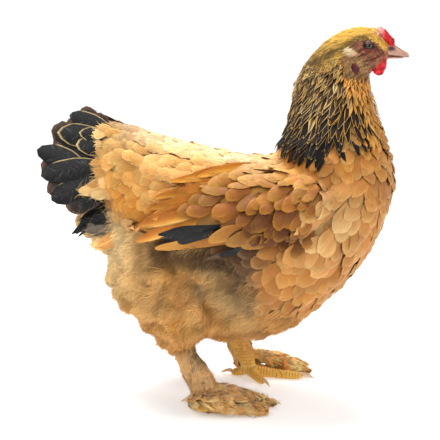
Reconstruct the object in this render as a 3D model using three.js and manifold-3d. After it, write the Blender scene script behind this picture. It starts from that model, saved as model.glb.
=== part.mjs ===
// A life-size Brahma hen, standing: the outline of its plumage, with bill, comb, eyes, legs and toes.
// Millimetres. +X is the way the hen faces, +Y its left side, +Z up, and it stands on the plane Z = 0.
import * as THREE from "three";
import { mergeVertices } from "three/addons/utils/BufferGeometryUtils.js";
import Module from "manifold-3d";

const wasm = await Module();
wasm.setup();

// Driving dimensions
const GAP = 0.35; // space between two pieces that meet
const EYE = { radius: 6.4, x: 169.5, y: 14.2, z: 423.5 };
const STANCE = 54; // each ankle's distance from the middle plane
const STRIDE = { left: 25, right: -7 }; // each ankle's place along X
const HOCK_BEHIND = { left: 30, right: 42 }; // how far each hock lies behind its ankle
const SHANK = { ankle: 14, hock: 88, radius: 8.5 };
const TOE = { radius: 5.4, axis: 4.4, claw: 14 };
const TAIL = { root: [-108, 0, 277], top: 352, spread: 0.36, halfWidth: 17, halfThick: 3.2 };
const BLOCK = 900; // a block that cuts the soles flat, or one side of the tail away

// Each station is a ring of a body: its top point (x, z), its bottom point (x, z) and its half width.
// The first and last stations close the body, so top and bottom meet there.
const TRUNK = [
  [205, 262, 205, 262, 0],
  [201, 288, 197, 229, 42],
  [186, 307, 182, 190, 66],
  [147, 312, 158, 151, 86],
  [100, 301, 115, 108, 98],
  [52, 293, 68, 77, 103],
  [6, 296, 20, 68, 103],
  [-36, 308, -30, 72, 99],
  [-76, 316, -72, 98, 89],
  [-108, 326, -106, 142, 72],
  [-134, 333, -132, 192, 50],
  [-151, 324, -150, 240, 29],
  [-158, 286, -158, 286, 0],
];
const NECK = [
  [112, 262, 112, 262, 0],
  [72, 280, 190, 264, 58],
  [63, 296, 202, 290, 70],
  [71, 316, 195, 314, 61],
  [78, 339, 187, 336, 49],
  [81, 361, 178, 357, 39],
  [86, 383, 173, 376, 32],
  [98, 405, 172, 388, 27],
  [117, 423, 168, 398, 22],
  [140, 414, 140, 414, 0],
];
const HEAD = [
  [103, 400, 103, 400, 0],
  [110, 419, 128, 378, 20],
  [124, 432, 148, 376, 22],
  [140, 441, 162, 377, 21],
  [158, 445.5, 173, 382, 19.5],
  [172, 443, 180, 391, 17],
  [182, 436, 186, 400, 13.5],
  [189, 427, 191, 406, 9.5],
  [194, 417, 194, 417, 0],
];
const BILL_UPPER = [
  [178, 419, 178, 419, 0],
  [183, 428, 182, 412, 8],
  [191, 427, 189, 411.6, 8],
  [199, 424.5, 197, 411.8, 6.6],
  [207, 421, 205, 411.4, 4.6],
  [213.5, 416, 212, 410, 2.4],
  [216, 410.5, 216, 410.5, 0],
];
const BILL_LOWER = [
  [178, 408, 178, 408, 0],
  [183, 411.4, 184, 404.6, 6.6],
  [191, 411.2, 191, 405, 6.2],
  [199, 411.2, 198, 405.8, 4.8],
  [206, 411, 205, 407, 3],
  [211, 409.4, 211, 409.4, 0],
];
const VENT = [
  [-84, 190, -84, 190, 0],
  [-100, 236, -92, 112, 54],
  [-124, 244, -116, 128, 54],
  [-148, 246, -136, 162, 44],
  [-170, 232, -158, 188, 30],
  [-183, 203, -183, 203, 0],
];

// Each folded wing lies between an upper and a lower edge, given from the shoulder to the tip as (x, z).
const WING = {
  upper: [[136, 254], [127, 271], [100, 283], [62, 284], [20, 280], [-20, 269], [-60, 244], [-99, 214]],
  lower: [[136, 254], [122, 230], [94, 212], [52, 204], [10, 204], [-30, 206], [-66, 208], [-99, 214]],
  proud: 13,
};
const PRIMARIES = {
  upper: [[56, 214], [28, 222], [-5, 222], [-38, 215], [-68, 196]],
  lower: [[56, 214], [30, 198], [-5, 193], [-38, 191], [-68, 196]],
  proud: 7,
};
const EDGE = 3; // how far a wing's edge stands off the trunk's side
const INTO_TRUNK = 10; // how far a wing's inner face starts inside the trunk's side, before it is cut

// Geometry helpers

const curveThrough = (points) => new THREE.CatmullRomCurve3(points.map((p) => new THREE.Vector3(...p)));
const signedPower = (v, power) => Math.sign(v) * Math.abs(v) ** power;

function positionsOnly(geometry) {
  geometry.deleteAttribute("normal");
  geometry.deleteAttribute("uv");
  return mergeVertices(geometry, 1e-3);
}

// Swaps two corners of every triangle, so that its faces point the other way.
function turnedOver(geometry) {
  const index = geometry.index.array;
  for (let i = 0; i < index.length; i += 3) [index[i + 1], index[i + 2]] = [index[i + 2], index[i + 1]];
  return geometry;
}

const mirrored = (geometry) => turnedOver(geometry.clone().scale(1, -1, 1));

function signedVolume(geometry) {
  const at = geometry.getAttribute("position");
  const corner = (i) => new THREE.Vector3().fromBufferAttribute(at, geometry.index.getX(i));
  let sum = 0;
  for (let i = 0; i < geometry.index.count; i += 3) sum += corner(i).dot(corner(i + 1).cross(corner(i + 2)));
  return sum / 6;
}

function moved(geometry, change) {
  const at = geometry.getAttribute("position");
  for (let i = 0; i < at.count; i++) {
    const place = change(new THREE.Vector3().fromBufferAttribute(at, i), i);
    at.setXYZ(i, place.x, place.y, place.z);
  }
  return geometry;
}

// A unit sphere with each vertex moved to place(t, side, up). t runs from pole to pole, from 0 to 1, and
// side and up run round the ring, from -1 to 1.
function shapedSphere([rings, sides], place) {
  const shape = moved(positionsOnly(new THREE.SphereGeometry(1, sides, rings)), (v) => {
    const t = Math.acos(THREE.MathUtils.clamp(v.y, -1, 1)) / Math.PI;
    const round = Math.hypot(v.x, v.z) || 1;
    return place(t, v.x / round, v.z / round);
  });
  return signedVolume(shape) < 0 ? turnedOver(shape) : shape;
}

// A body from a table of stations. squareness 2 makes elliptic rings, and more makes them squarer.
function stationBody(stations, size, squareness = 2) {
  const top = curveThrough(stations.map(([x, z]) => [x, 0, z]));
  const bottom = curveThrough(stations.map(([, , x, z]) => [x, 0, z]));
  const width = curveThrough(stations.map((s) => [s[4], 0, 0]));
  return shapedSphere(size, (t, side, up) => {
    const a = top.getPoint(t);
    const b = bottom.getPoint(t);
    const half = a.clone().sub(b).multiplyScalar(0.5 * signedPower(up, 2 / squareness));
    const middle = a.add(b).multiplyScalar(0.5);
    middle.y = width.getPoint(t).x * signedPower(side, 2 / squareness);
    return middle.add(half);
  });
}

// A limb along a spine, with a radius fore and aft and one across at each of the spine's points.
function limb(spine, foreAft, across, size = [8, 8]) {
  const line = curveThrough(spine);
  const radii = curveThrough(foreAft.map((r, i) => [r, across[i], 0]));
  const sideways = new THREE.Vector3(0, 1, 0);
  return shapedSphere(size, (t, side, up) => {
    const along = (1 - Math.cos(Math.PI * t)) / 2;
    const way = line.getTangent(along);
    const fore = new THREE.Vector3().crossVectors(sideways, way).normalize();
    const out = new THREE.Vector3().crossVectors(way, fore);
    const { x: r, y: s } = radii.getPoint(along);
    const closing = Math.sqrt(Math.sin(Math.PI * t));
    return line
      .getPoint(along)
      .addScaledVector(fore, r * closing * up)
      .addScaledVector(out, s * closing * side);
  });
}

const solid = (geometry) =>
  new wasm.Manifold(
    new wasm.Mesh({
      numProp: 3,
      vertProperties: new Float32Array(geometry.getAttribute("position").array),
      triVerts: new Uint32Array(geometry.index.array),
    }),
  );

// The same geometry with every vertex moved out along its normal.
function grown(geometry, by) {
  const bigger = geometry.clone();
  bigger.computeVertexNormals();
  const normal = bigger.getAttribute("normal");
  moved(bigger, (v, i) => v.addScaledVector(new THREE.Vector3().fromBufferAttribute(normal, i), by));
  bigger.deleteAttribute("normal");
  return bigger;
}

const joined = (solids) => solids.reduce((a, b) => a.add(b));
const largest = (made) => made.decompose().sort((a, b) => b.volume() - a.volume())[0];

function toGeometry(made) {
  const mesh = made.getMesh();
  return new THREE.BufferGeometry()
    .setAttribute("position", new THREE.BufferAttribute(new Float32Array(mesh.vertProperties), 3))
    .setIndex(new THREE.BufferAttribute(new Uint32Array(mesh.triVerts), 1));
}

// The pieces, in the order in which they are cut: each one gives way to those made before it

const bird = new THREE.Group();
const made = []; // each piece's solid parts, a little grown, and the box that they fill
const block = positionsOnly(new THREE.BoxGeometry(BLOCK, BLOCK, BLOCK));
const belowFloor = solid(block.clone().translate(0, 0, -BLOCK / 2));
const otherSide = (sign) => solid(block.clone().translate(0, sign * (GAP - BLOCK) / 2, 0));

function addPiece(name, material, geometries, cuts = []) {
  const parts = [geometries].flat();
  let shape = joined(parts.map(solid));
  const box = new THREE.Box3();
  for (const g of parts) box.union(new THREE.Box3().setFromBufferAttribute(g.getAttribute("position")));
  for (const other of made) if (other.box.intersectsBox(box)) shape = shape.subtract(other.cutter);
  for (const cut of cuts) shape = shape.subtract(cut);
  const mesh = new THREE.Mesh(toGeometry(largest(shape)), material);
  mesh.name = name;
  bird.add(mesh);
  made.push({ cutter: joined(parts.map((g) => solid(grown(g, GAP)))), box });
  return mesh;
}

const finish = (color, roughness) => new THREE.MeshStandardMaterial({ color, roughness, metalness: 0 });
const MATERIAL = {
  buff: finish(0xd39a4e, 0.85),
  fluff: finish(0xc9a06a, 0.95),
  hackle: finish(0x3c3020, 0.6),
  black: finish(0x1c1b1a, 0.5),
  crest: finish(0xd8a040, 0.85),
  comb: finish(0xc4202a, 0.45),
  lobe: finish(0x8e2a30, 0.6),
  horn: finish(0xa88c68, 0.4),
  leg: finish(0xd9a93a, 0.6),
  eye: finish(0x6b4a20, 0.1),
};

const SIDES = [
  ["left", 1],
  ["right", -1],
];
const onSide = (geometry, sign) => (sign < 0 ? mirrored(geometry) : geometry);

function eyes() {
  for (const [side, sign] of SIDES) {
    const ball = positionsOnly(new THREE.SphereGeometry(EYE.radius, 10, 6));
    addPiece(`eye_${side}`, MATERIAL.eye, ball.translate(EYE.x, sign * EYE.y, EYE.z));
  }
}

function bill() {
  addPiece("bill_upper", MATERIAL.horn, stationBody(BILL_UPPER, [10, 10], 1.8));
  addPiece("bill_lower", MATERIAL.horn, stationBody(BILL_LOWER, [8, 8], 1.8));
}

// Pea comb: three low rows of peas from the crown to the bill, the middle row highest.
function comb() {
  const ROWS = [
    { y: -4.6, width: 2.7, height: 4.2, lift: 0.4 },
    { y: 0, width: 3.2, height: 5, lift: 2.4 },
    { y: 4.6, width: 2.7, height: 4.2, lift: 0.4 },
  ];
  const PEAS = 5;
  const line = curveThrough([[174, 0, 441], [184, 0, 437], [192, 0, 430.5], [199, 0, 424]]);
  const rows = ROWS.map(({ y, width, height, lift }) => {
    const steps = Array.from({ length: 2 * PEAS - 1 }, (_, i) => i / (2 * PEAS - 2));
    const swell = steps.map((along, i) => (1.15 - 0.45 * along) * (i % 2 ? 0.78 : 1.05));
    const spine = steps.map((along) => {
      const at = line.getPoint(along);
      const way = line.getTangent(along);
      return [at.x - way.z * lift, y, at.z + way.x * lift];
    });
    return limb(spine, swell.map((s) => s * height), swell.map((s) => s * width), [12, 6]);
  });
  addPiece("comb", MATERIAL.comb, rows);
}

function wattles() {
  for (const [side, sign] of SIDES) {
    const wattle = limb(
      [[187, 7.5, 408], [184, 10, 401], [179, 11.5, 395], [176, 11.5, 391]],
      [3.5, 7, 7.5, 3.5],
      [2.2, 2.8, 2.8, 2],
      [6, 8],
    );
    addPiece(`wattle_${side}`, MATERIAL.comb, onSide(wattle, sign));
    const lobe = limb(
      [[154, 20.5, 407], [153.5, 21, 400], [155, 20.5, 392]],
      [3.6, 5.2, 3.2],
      [2, 2.8, 2],
      [5, 6],
    );
    addPiece(`ear_lobe_${side}`, MATERIAL.lobe, onSide(lobe, sign));
  }
}

// Three toes point forward and one back. turn is an angle from straight ahead, outwards, in degrees.
const TOES = {
  middle: { turn: -3, reach: 84, size: 1 },
  outer: { turn: 28, reach: 70, size: 0.92 },
  inner: { turn: -54, reach: 54, size: 0.9 },
  hind: { turn: 174, reach: 36, size: 0.85 },
};

function foot(side, sign) {
  for (const [toe, { turn, reach, size }] of Object.entries(TOES)) {
    const angle = THREE.MathUtils.degToRad(turn);
    const r = TOE.radius * size;
    const z = TOE.axis * size;
    const at = (share, height) => [
      STRIDE[side] + Math.cos(angle) * reach * share,
      STANCE + Math.sin(angle) * reach * share,
      height,
    ];
    const fleshy = 1 - TOE.claw / reach;
    const claw = limb(
      [at(fleshy - 0.04, z + 1.2), at(fleshy + 0.08, z + 2), at(1, 1.2)],
      [2.6, 2.3, 0.8],
      [2.4, 2, 0.8],
      [4, 6],
    );
    addPiece(`claw_${toe}_${side}`, MATERIAL.horn, onSide(claw, sign), [belowFloor]);
    const flesh = limb(
      [at(0.1, SHANK.ankle * 0.7), at(0.24, z + 2.6), at(0.42, z), at(0.62, z + 0.8), at(fleshy, z)],
      [r * 1.5, r * 1.25, r, r * 0.95, r * 0.85],
      [r * 1.35, r * 1.2, r * 1.02, r * 0.95, r * 0.8],
      [7, 8],
    );
    addPiece(`toe_${toe}_${side}`, MATERIAL.leg, onSide(flesh, sign), [belowFloor]);
  }
}

const LOWEST_FEATHER = 1.5; // how far the feathers of the feet stay above the floor

function leg(side, sign) {
  const x = STRIDE[side];
  const hock = x - HOCK_BEHIND[side];
  const middle = (x + hock) / 2;
  foot(side, sign);
  const { ankle, radius } = SHANK;
  const shank = limb(
    [
      [x - 1, STANCE, ankle - 6],
      [x - 5, STANCE, ankle + 10],
      [middle, STANCE, 50],
      [hock, STANCE, SHANK.hock],
    ],
    [radius * 1.15, radius * 1.1, radius, radius * 1.4],
    [radius * 1.25, radius * 0.95, radius * 0.9, radius * 1.2],
    [7, 8],
  );
  addPiece(`shank_${side}`, MATERIAL.leg, onSide(shank, sign), [belowFloor]);
  // Feathers grow down the outer side of the shank, over the outer toe and out beside it.
  const boot = [
    limb(
      [
        [hock, STANCE + 4, 82],
        [middle - 2, STANCE + 7, 50],
        [x - 8, STANCE + 13, 24],
        [x - 6, STANCE + 26, 9],
      ],
      [16, 15, 16, 13],
      [12, 10, 12, 12],
      [6, 8],
    ),
    limb(
      [
        [x - 28, STANCE + 24, 11],
        [x + 10, STANCE + 30, 14],
        [x + 48, STANCE + 33, 10],
        [x + 74, STANCE + 34, 5],
      ],
      [12, 13, 9, 3.5],
      [22, 27, 17, 6],
      [6, 8],
    ),
    limb(
      [[x, STANCE + 10, 24], [x + 36, STANCE + 11, 18], [x + 80, STANCE + 9, 6]],
      [11, 10, 5],
      [10, 9, 5],
      [5, 6],
    ),
  ];
  const raised = (g) => moved(g, (v) => v.setZ(Math.max(v.z, LOWEST_FEATHER + 0.02 * v.z)));
  addPiece(`boot_feathers_${side}`, MATERIAL.fluff, boot.map((g) => onSide(raised(g), sign)));
}

// The fluff of a thigh spreads from the belly to the hock.
function thigh(side, sign) {
  const hock = STRIDE[side] - HOCK_BEHIND[side];
  const shape = limb(
    [
      [-34, 40, 214],
      [-52, 54, 167],
      [-42, 58, 118],
      [hock * 0.6 - 14, STANCE, 84],
      [hock + 8, STANCE, 58],
    ],
    [60, 88, 61, 36, 16],
    [36, 46, 43, 31, 16],
    [11, 12],
  );
  addPiece(`thigh_${side}`, MATERIAL.fluff, onSide(shape, sign));
}

// A folded wing is a lens between its two edges, laid on the trunk's side.
function foldedWing({ upper, lower, proud }, trunk, size) {
  const edges = [upper, lower].map((line) => curveThrough(line.map(([x, z]) => [x, 0, z])));
  const ray = new THREE.Raycaster();
  const inwards = new THREE.Vector3(0, -1, 0);
  return shapedSphere(size, (t, side, up) => {
    const along = (1 - Math.cos(Math.PI * t)) / 2;
    const [a, b] = edges.map((edge) => edge.getPoint(along));
    const at = b.lerp(a, (up + 1) / 2);
    const bulge = Math.sin(Math.PI * t) ** 0.6 * Math.abs(side) ** 0.7;
    const depth = side > 0 ? (proud - EDGE) * bulge : -(INTO_TRUNK + EDGE) * Math.abs(side);
    ray.set(at.setY(BLOCK), inwards);
    const [{ point, normal }] = ray.intersectObject(trunk);
    return point.addScaledVector(normal, EDGE + depth);
  });
}

// One half of the tail: broad quills spread like a fan, whose lower edge stands out like the side of a tent.
function tailHalf() {
  const QUILLS = [
    { rise: 51, length: 86 },
    { rise: 37, length: 112 },
    { rise: 24, length: 121 },
    { rise: 11, length: 121 },
    { rise: -3, length: 117 },
    { rise: -17, length: 107 },
    { rise: -32, length: 94 },
  ];
  const [rootX, , rootZ] = TAIL.root;
  const { halfWidth, halfThick } = TAIL;
  return QUILLS.map(({ rise, length }, i) => {
    const angle = THREE.MathUtils.degToRad(rise);
    const at = (share) => [
      rootX - Math.cos(angle) * length * share,
      0,
      rootZ + Math.sin(angle) * length * share,
    ];
    const quill = limb(
      [at(0.05), at(0.5), at(1)],
      [halfWidth * 0.6, halfWidth, halfWidth * 0.95],
      [halfThick * 2, halfThick, halfThick * 0.6],
      [6, 6],
    );
    return moved(quill, (v) => v.setY(v.y + halfThick + i * 1.5 + TAIL.spread * Math.max(TAIL.top - v.z, 0)));
  });
}

eyes();
addPiece("head", MATERIAL.crest, stationBody(HEAD, [12, 14], 2.1));
bill();
comb();
wattles();
addPiece("neck", MATERIAL.hackle, stationBody(NECK, [12, 14]));
for (const [side, sign] of SIDES) leg(side, sign);
const trunkShape = stationBody(TRUNK, [16, 16], 2.15);
addPiece("trunk", MATERIAL.buff, trunkShape);
const trunkWhole = new THREE.Mesh(trunkShape.clone());
trunkWhole.geometry.computeVertexNormals();
for (const [side, sign] of SIDES) {
  addPiece(`wing_${side}`, MATERIAL.buff, onSide(foldedWing(WING, trunkWhole, [12, 12]), sign));
  addPiece(`primaries_${side}`, MATERIAL.black, onSide(foldedWing(PRIMARIES, trunkWhole, [8, 8]), sign));
  thigh(side, sign);
}
addPiece("vent_fluff", MATERIAL.fluff, stationBody(VENT, [8, 10]));
for (const [side, sign] of SIDES) {
  addPiece(`tail_${side}`, MATERIAL.black, tailHalf().map((g) => onSide(g, sign)), [otherSide(sign)]);
}

// The origin lies on the floor, under the middle of the hen's length and width.
const extent = new THREE.Box3().setFromObject(bird);
const centre = extent.getCenter(new THREE.Vector3());
for (const mesh of bird.children) mesh.position.set(-centre.x, -centre.y, -extent.min.z);

export default bird;
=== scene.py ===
import math

import bmesh
import bpy
import numpy as np
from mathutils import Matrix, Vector
from mathutils.bvhtree import BVHTree
from mathutils.kdtree import KDTree


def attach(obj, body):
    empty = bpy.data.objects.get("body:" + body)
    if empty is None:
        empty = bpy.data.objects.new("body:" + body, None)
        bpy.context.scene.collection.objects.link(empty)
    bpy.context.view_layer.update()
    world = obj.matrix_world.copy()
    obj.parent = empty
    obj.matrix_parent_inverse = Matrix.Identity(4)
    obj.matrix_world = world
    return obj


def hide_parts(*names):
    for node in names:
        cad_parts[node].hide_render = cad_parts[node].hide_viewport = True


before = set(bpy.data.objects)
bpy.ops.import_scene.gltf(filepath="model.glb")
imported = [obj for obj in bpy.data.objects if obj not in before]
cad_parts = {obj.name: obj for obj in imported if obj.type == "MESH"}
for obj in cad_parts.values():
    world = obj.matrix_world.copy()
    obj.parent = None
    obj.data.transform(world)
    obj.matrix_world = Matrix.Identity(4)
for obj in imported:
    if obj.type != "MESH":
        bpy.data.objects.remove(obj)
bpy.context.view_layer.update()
mm = 0.001  # every size below is in millimetres, +X the way the hen faces, +Y its left
sideSigns = {"left": 1, "right": -1}


# ---- camera, lights and floor

camera = {"aim": (5.4, 0, 213), "distance": 1600, "turn": 8, "rise": 12, "lens": 109.1, "shift": -3 / 440}
lights = {
    "overhead": {"at": (-250, 500, 1750), "width": 1300, "watts": 58},
    "key": {"at": (-500, -1500, 1500), "width": 900, "watts": 13},
    "front": {"at": (1500, -500, 800), "width": 1000, "watts": 9},
}
studio = {"glow": 0.42, "backdrop": 1.05, "floor": 0.8, "floorGlow": 0.36, "floorSize": 2.6,
          "lampAim": (0, 0, 220)}


def placed(name, data):
    # a new object in the scene
    made = bpy.data.objects.new(name, data)
    bpy.context.collection.objects.link(made)
    return made


def setStage():
    turn, rise = math.radians(camera["turn"]), math.radians(camera["rise"])
    back = Vector((math.sin(turn) * math.cos(rise), -math.cos(turn) * math.cos(rise), math.sin(rise)))
    eyepiece = placed("camera", bpy.data.cameras.new("camera"))
    eyepiece.data.lens = camera["lens"]
    eyepiece.data.shift_x = camera["shift"]
    eyepiece.location = (Vector(camera["aim"]) + back * camera["distance"]) * mm
    eyepiece.rotation_euler = back.to_track_quat("Z", "Y").to_euler()
    bpy.context.scene.camera = eyepiece
    for name, light in lights.items():
        lamp = bpy.data.lights.new(name, "AREA")
        lamp.size = light["width"] * mm
        lamp.energy = light["watts"]
        holder = placed(name, lamp)
        holder.location = Vector(light["at"]) * mm
        toLamp = Vector(light["at"]) - Vector(studio["lampAim"])
        holder.rotation_euler = toLamp.to_track_quat("Z", "Y").to_euler()
    world = bpy.data.worlds.new("studio")
    world.use_nodes = True
    glow = world.node_tree.nodes["Background"]
    glow.inputs["Color"].default_value = (1, 1, 1, 1)
    # the backdrop is a little brighter than the light it gives
    seen = world.node_tree.nodes.new("ShaderNodeLightPath").outputs["Is Camera Ray"]
    level = world.node_tree.nodes.new("ShaderNodeMapRange")
    level.inputs["To Min"].default_value = studio["glow"]
    level.inputs["To Max"].default_value = studio["backdrop"]
    world.node_tree.links.new(seen, level.inputs["Value"])
    world.node_tree.links.new(level.outputs[0], glow.inputs["Strength"])
    bpy.context.scene.world = world
    bpy.context.scene.view_settings.view_transform = "Standard"
    bpy.ops.mesh.primitive_plane_add(size=studio["floorSize"])
    floor = bpy.context.object
    floor.name = "floor"
    paper = Finish("floor_paper")
    mottle = paper.noise(paper.place(), 3, 2)
    shade = studio["floor"]
    paper.surface(paper.ramp(mottle, [(0, (shade, shade, shade)), (1, (shade + 0.02,) * 3)]), 0.9,
                  Emission_Color=(1, 1, 1, 1), Emission_Strength=studio["floorGlow"])
    floor.data.materials.append(paper.material)


# ---- finishes

class Wire:
    # a shader socket that takes part in sums
    def __init__(self, finish, socket):
        self.finish = finish
        self.socket = socket

    def sum(self, operation, first, second):
        return self.finish.node("ShaderNodeMath", {"operation": operation}, [first, second])

    def __add__(self, other):
        return self.sum("ADD", self, other)

    def __sub__(self, other):
        return self.sum("SUBTRACT", self, other)

    def __rsub__(self, other):
        return self.sum("SUBTRACT", other, self)

    def __mul__(self, other):
        return self.sum("MULTIPLY", self, other)

    __radd__ = __add__
    __rmul__ = __mul__

    def absolute(self):
        return self.sum("ABSOLUTE", self, 0)

    def sine(self):
        return self.sum("SINE", self, 0)


class Finish:
    # one material and its nodes
    def __init__(self, name):
        self.material = bpy.data.materials.new(name)
        self.material.use_nodes = True
        self.tree = self.material.node_tree
        self.tree.nodes.clear()

    def node(self, kind, settings=None, sockets=None, output=0):
        made = self.tree.nodes.new(kind)
        for key, value in (settings or {}).items():
            if key == "stops":
                points = made.color_ramp.elements
                while len(points) < len(value):
                    points.new(1)
                for point, (position, colour) in zip(points, value):
                    point.position = position
                    point.color = (*colour, 1)
            else:
                setattr(made, key, value)
        pairs = enumerate(sockets) if isinstance(sockets, list) else (sockets or {}).items()
        for key, value in pairs:
            if isinstance(value, Wire):
                self.tree.links.new(value.socket, made.inputs[key])
            else:
                made.inputs[key].default_value = value
        return Wire(self, made.outputs[output]) if made.outputs else None

    def field(self, name, output="Fac"):
        return self.node("ShaderNodeAttribute", {"attribute_name": name}, output=output)

    def place(self):
        return self.node("ShaderNodeTexCoord", output="Object")

    def parts(self, vector):
        made = self.node("ShaderNodeSeparateXYZ", None, [vector]).socket.node
        return [Wire(self, made.outputs[i]) for i in range(3)]

    def join(self, x, y, z):
        return self.node("ShaderNodeCombineXYZ", None, [x, y, z])

    def noise(self, vector, scale, detail=3, roughness=0.5):
        return self.node("ShaderNodeTexNoise", None,
                         {"Vector": vector, "Scale": scale, "Detail": detail, "Roughness": roughness})

    def ramp(self, value, stops):
        return self.node("ShaderNodeValToRGB", {"stops": stops}, [value])

    def between(self, value, low, high):
        return self.node("ShaderNodeMapRange", {"interpolation_type": "SMOOTHSTEP"},
                         {"Value": value, "From Min": low, "From Max": high})

    def blend(self, factor, first, second, how="MIX"):
        first, second = [value if isinstance(value, Wire) else (*value, 1) for value in (first, second)]
        return self.node("ShaderNodeMix", {"data_type": "RGBA", "blend_type": how},
                         {0: factor, 6: first, 7: second}, output=2)

    def bump(self, height, strength, distance):
        return self.node("ShaderNodeBump", None,
                         {"Strength": strength, "Distance": distance, "Height": height})

    def surface(self, colour, roughness, normal=None, **constants):
        sockets = {"Base Color": colour, "Roughness": roughness}
        if normal is not None:
            sockets["Normal"] = normal
        for key, value in constants.items():
            sockets[key.replace("_", " ")] = value
        shader = self.node("ShaderNodeBsdfPrincipled", None, sockets)
        self.node("ShaderNodeOutputMaterial", None, {"Surface": shader})
        return self.material


def tone(red, green, blue):
    # a screen colour, 0 to 255, as linear light
    return (np.array([red, green, blue]) / 255) ** 2.2


# the near-white colour at the end of this table is for painted highlights
plumage = {
    "gold": tone(226, 160, 58), "buff": tone(208, 146, 68), "rust": tone(158, 92, 36),
    "pale": tone(244, 210, 144), "tan": tone(216, 156, 86), "grey": tone(104, 92, 80),
    "brown": tone(86, 62, 44), "umber": tone(66, 44, 26), "black": tone(16, 15, 17),
    "creamHighlight": tone(252, 234, 194), "cream": tone(226, 193, 128),
}

setStage()
print("stage set")


# ---- number work

def smooth(low, high, value):
    t = np.clip((value - low) / (high - low), 0, 1)
    return t * t * (3 - 2 * t)


def unit(vectors):
    return vectors / np.maximum(np.linalg.norm(vectors, axis=-1, keepdims=True), 1e-9)


def dot(first, second):
    return (first * second).sum(-1, keepdims=True)


def swell(points, wavelength, seed):
    # a smooth random height, about -1 to 1, that goes over the body in soft mounds
    rng = np.random.default_rng(seed)
    ways = unit(rng.normal(size=(9, 3))) * 2 * math.pi / wavelength
    ways *= rng.uniform(0.7, 1.4, (9, 1))
    return np.sin(points @ ways.T + rng.uniform(0, 6.28, 9)).sum(1) / 3.5


def mixed(first, second, share):
    return first * (1 - share) + second * share


def varied(rng, low, high, places):
    # a random factor for the colour at each place
    return rng.uniform(low, high, (len(places), 1))


def folded(points):
    # both sides laid on the hen's left
    return points * [1, 0, 1] + np.abs(points) * [0, 1, 0]


def near(points, centre, radius):
    # 1 at the centre, fading to 0 about a radius away, on both sides
    gap = folded(points) - centre
    return np.exp(-((gap ** 2).sum(1)) / radius ** 2 * 1.6)


def cornerNormals(points, quads):
    faces = np.cross(points[quads[:, 2]] - points[quads[:, 0]], points[quads[:, 3]] - points[quads[:, 1]])
    return unit(np.stack([sum(np.bincount(quads[:, k], faces[:, axis], len(points)) for k in range(4))
                          for axis in range(3)], 1))


def relax(points, quads, rounds, keep=0.53):
    # smooths a mesh and swells it back by turns, so that it doesn't shrink
    first, second = quads.ravel(), np.roll(quads, -1, axis=1).ravel()
    count = np.bincount(first, minlength=len(points)) + np.bincount(second, minlength=len(points))
    for turn in range(rounds):
        total = np.stack([np.bincount(first, points[second, k], len(points))
                          + np.bincount(second, points[first, k], len(points)) for k in range(3)], 1)
        step = total / count[:, None] - points
        points = points + step * (0.5 if turn % 2 == 0 else -keep)
    return points


def meshArrays(mesh):
    points = np.empty(len(mesh.vertices) * 3, np.float32)
    mesh.vertices.foreach_get("co", points)
    corners = np.empty(len(mesh.loops), np.int32)
    mesh.loops.foreach_get("vertex_index", corners)
    return points.reshape(-1, 3).astype(float) / mm, corners


def modified(points, faces, kind, group=(), **settings):
    # the mesh that one modifier makes of these points and faces
    mesh = bpy.data.meshes.new("rough")
    mesh.from_pydata((points * mm).tolist(), [], faces)
    holder = placed("rough", mesh)
    if len(group):
        holder.vertex_groups.new(name="group").add(group, 1, "REPLACE")
    change = holder.modifiers.new("change", kind)
    for key, value in settings.items():
        setattr(change, key, value)
    done = bpy.data.meshes.new_from_object(holder.evaluated_get(bpy.context.evaluated_depsgraph_get()))
    bpy.data.objects.remove(holder)
    bpy.data.meshes.remove(mesh)
    return done


def remeshed(points, faces, voxel):
    done = modified(points, faces, "REMESH", mode="VOXEL", voxel_size=voxel * mm)
    made, corners = meshArrays(done)
    bpy.data.meshes.remove(done)
    return made, corners.reshape(-1, 4)


def cadSurface(name, grow):
    shell = bmesh.new()
    shell.from_mesh(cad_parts[name].data)
    bmesh.ops.remove_doubles(shell, verts=shell.verts, dist=1e-5)
    shell.normal_update()
    points = np.array([corner.co + corner.normal * grow * mm for corner in shell.verts]) / mm
    faces = [[corner.index for corner in face.verts] for face in shell.faces]
    shell.free()
    return points, faces


def gathered(shells):
    # several shells as one list of points and faces
    points, faces, start = [], [], 0
    for shellPoints, shellFaces in shells:
        points.append(np.asarray(shellPoints, float))
        faces += [[start + int(corner) for corner in face] for face in shellFaces]
        start += len(shellPoints)
    return np.concatenate(points), faces


def gapsTo(shells, places):
    # how far each place is from each shell
    trees = [BVHTree.FromPolygons(points.tolist(), faces) for points, faces in shells]
    return np.array([[tree.find_nearest(place)[3] for tree in trees] for place in places.tolist()])


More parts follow.
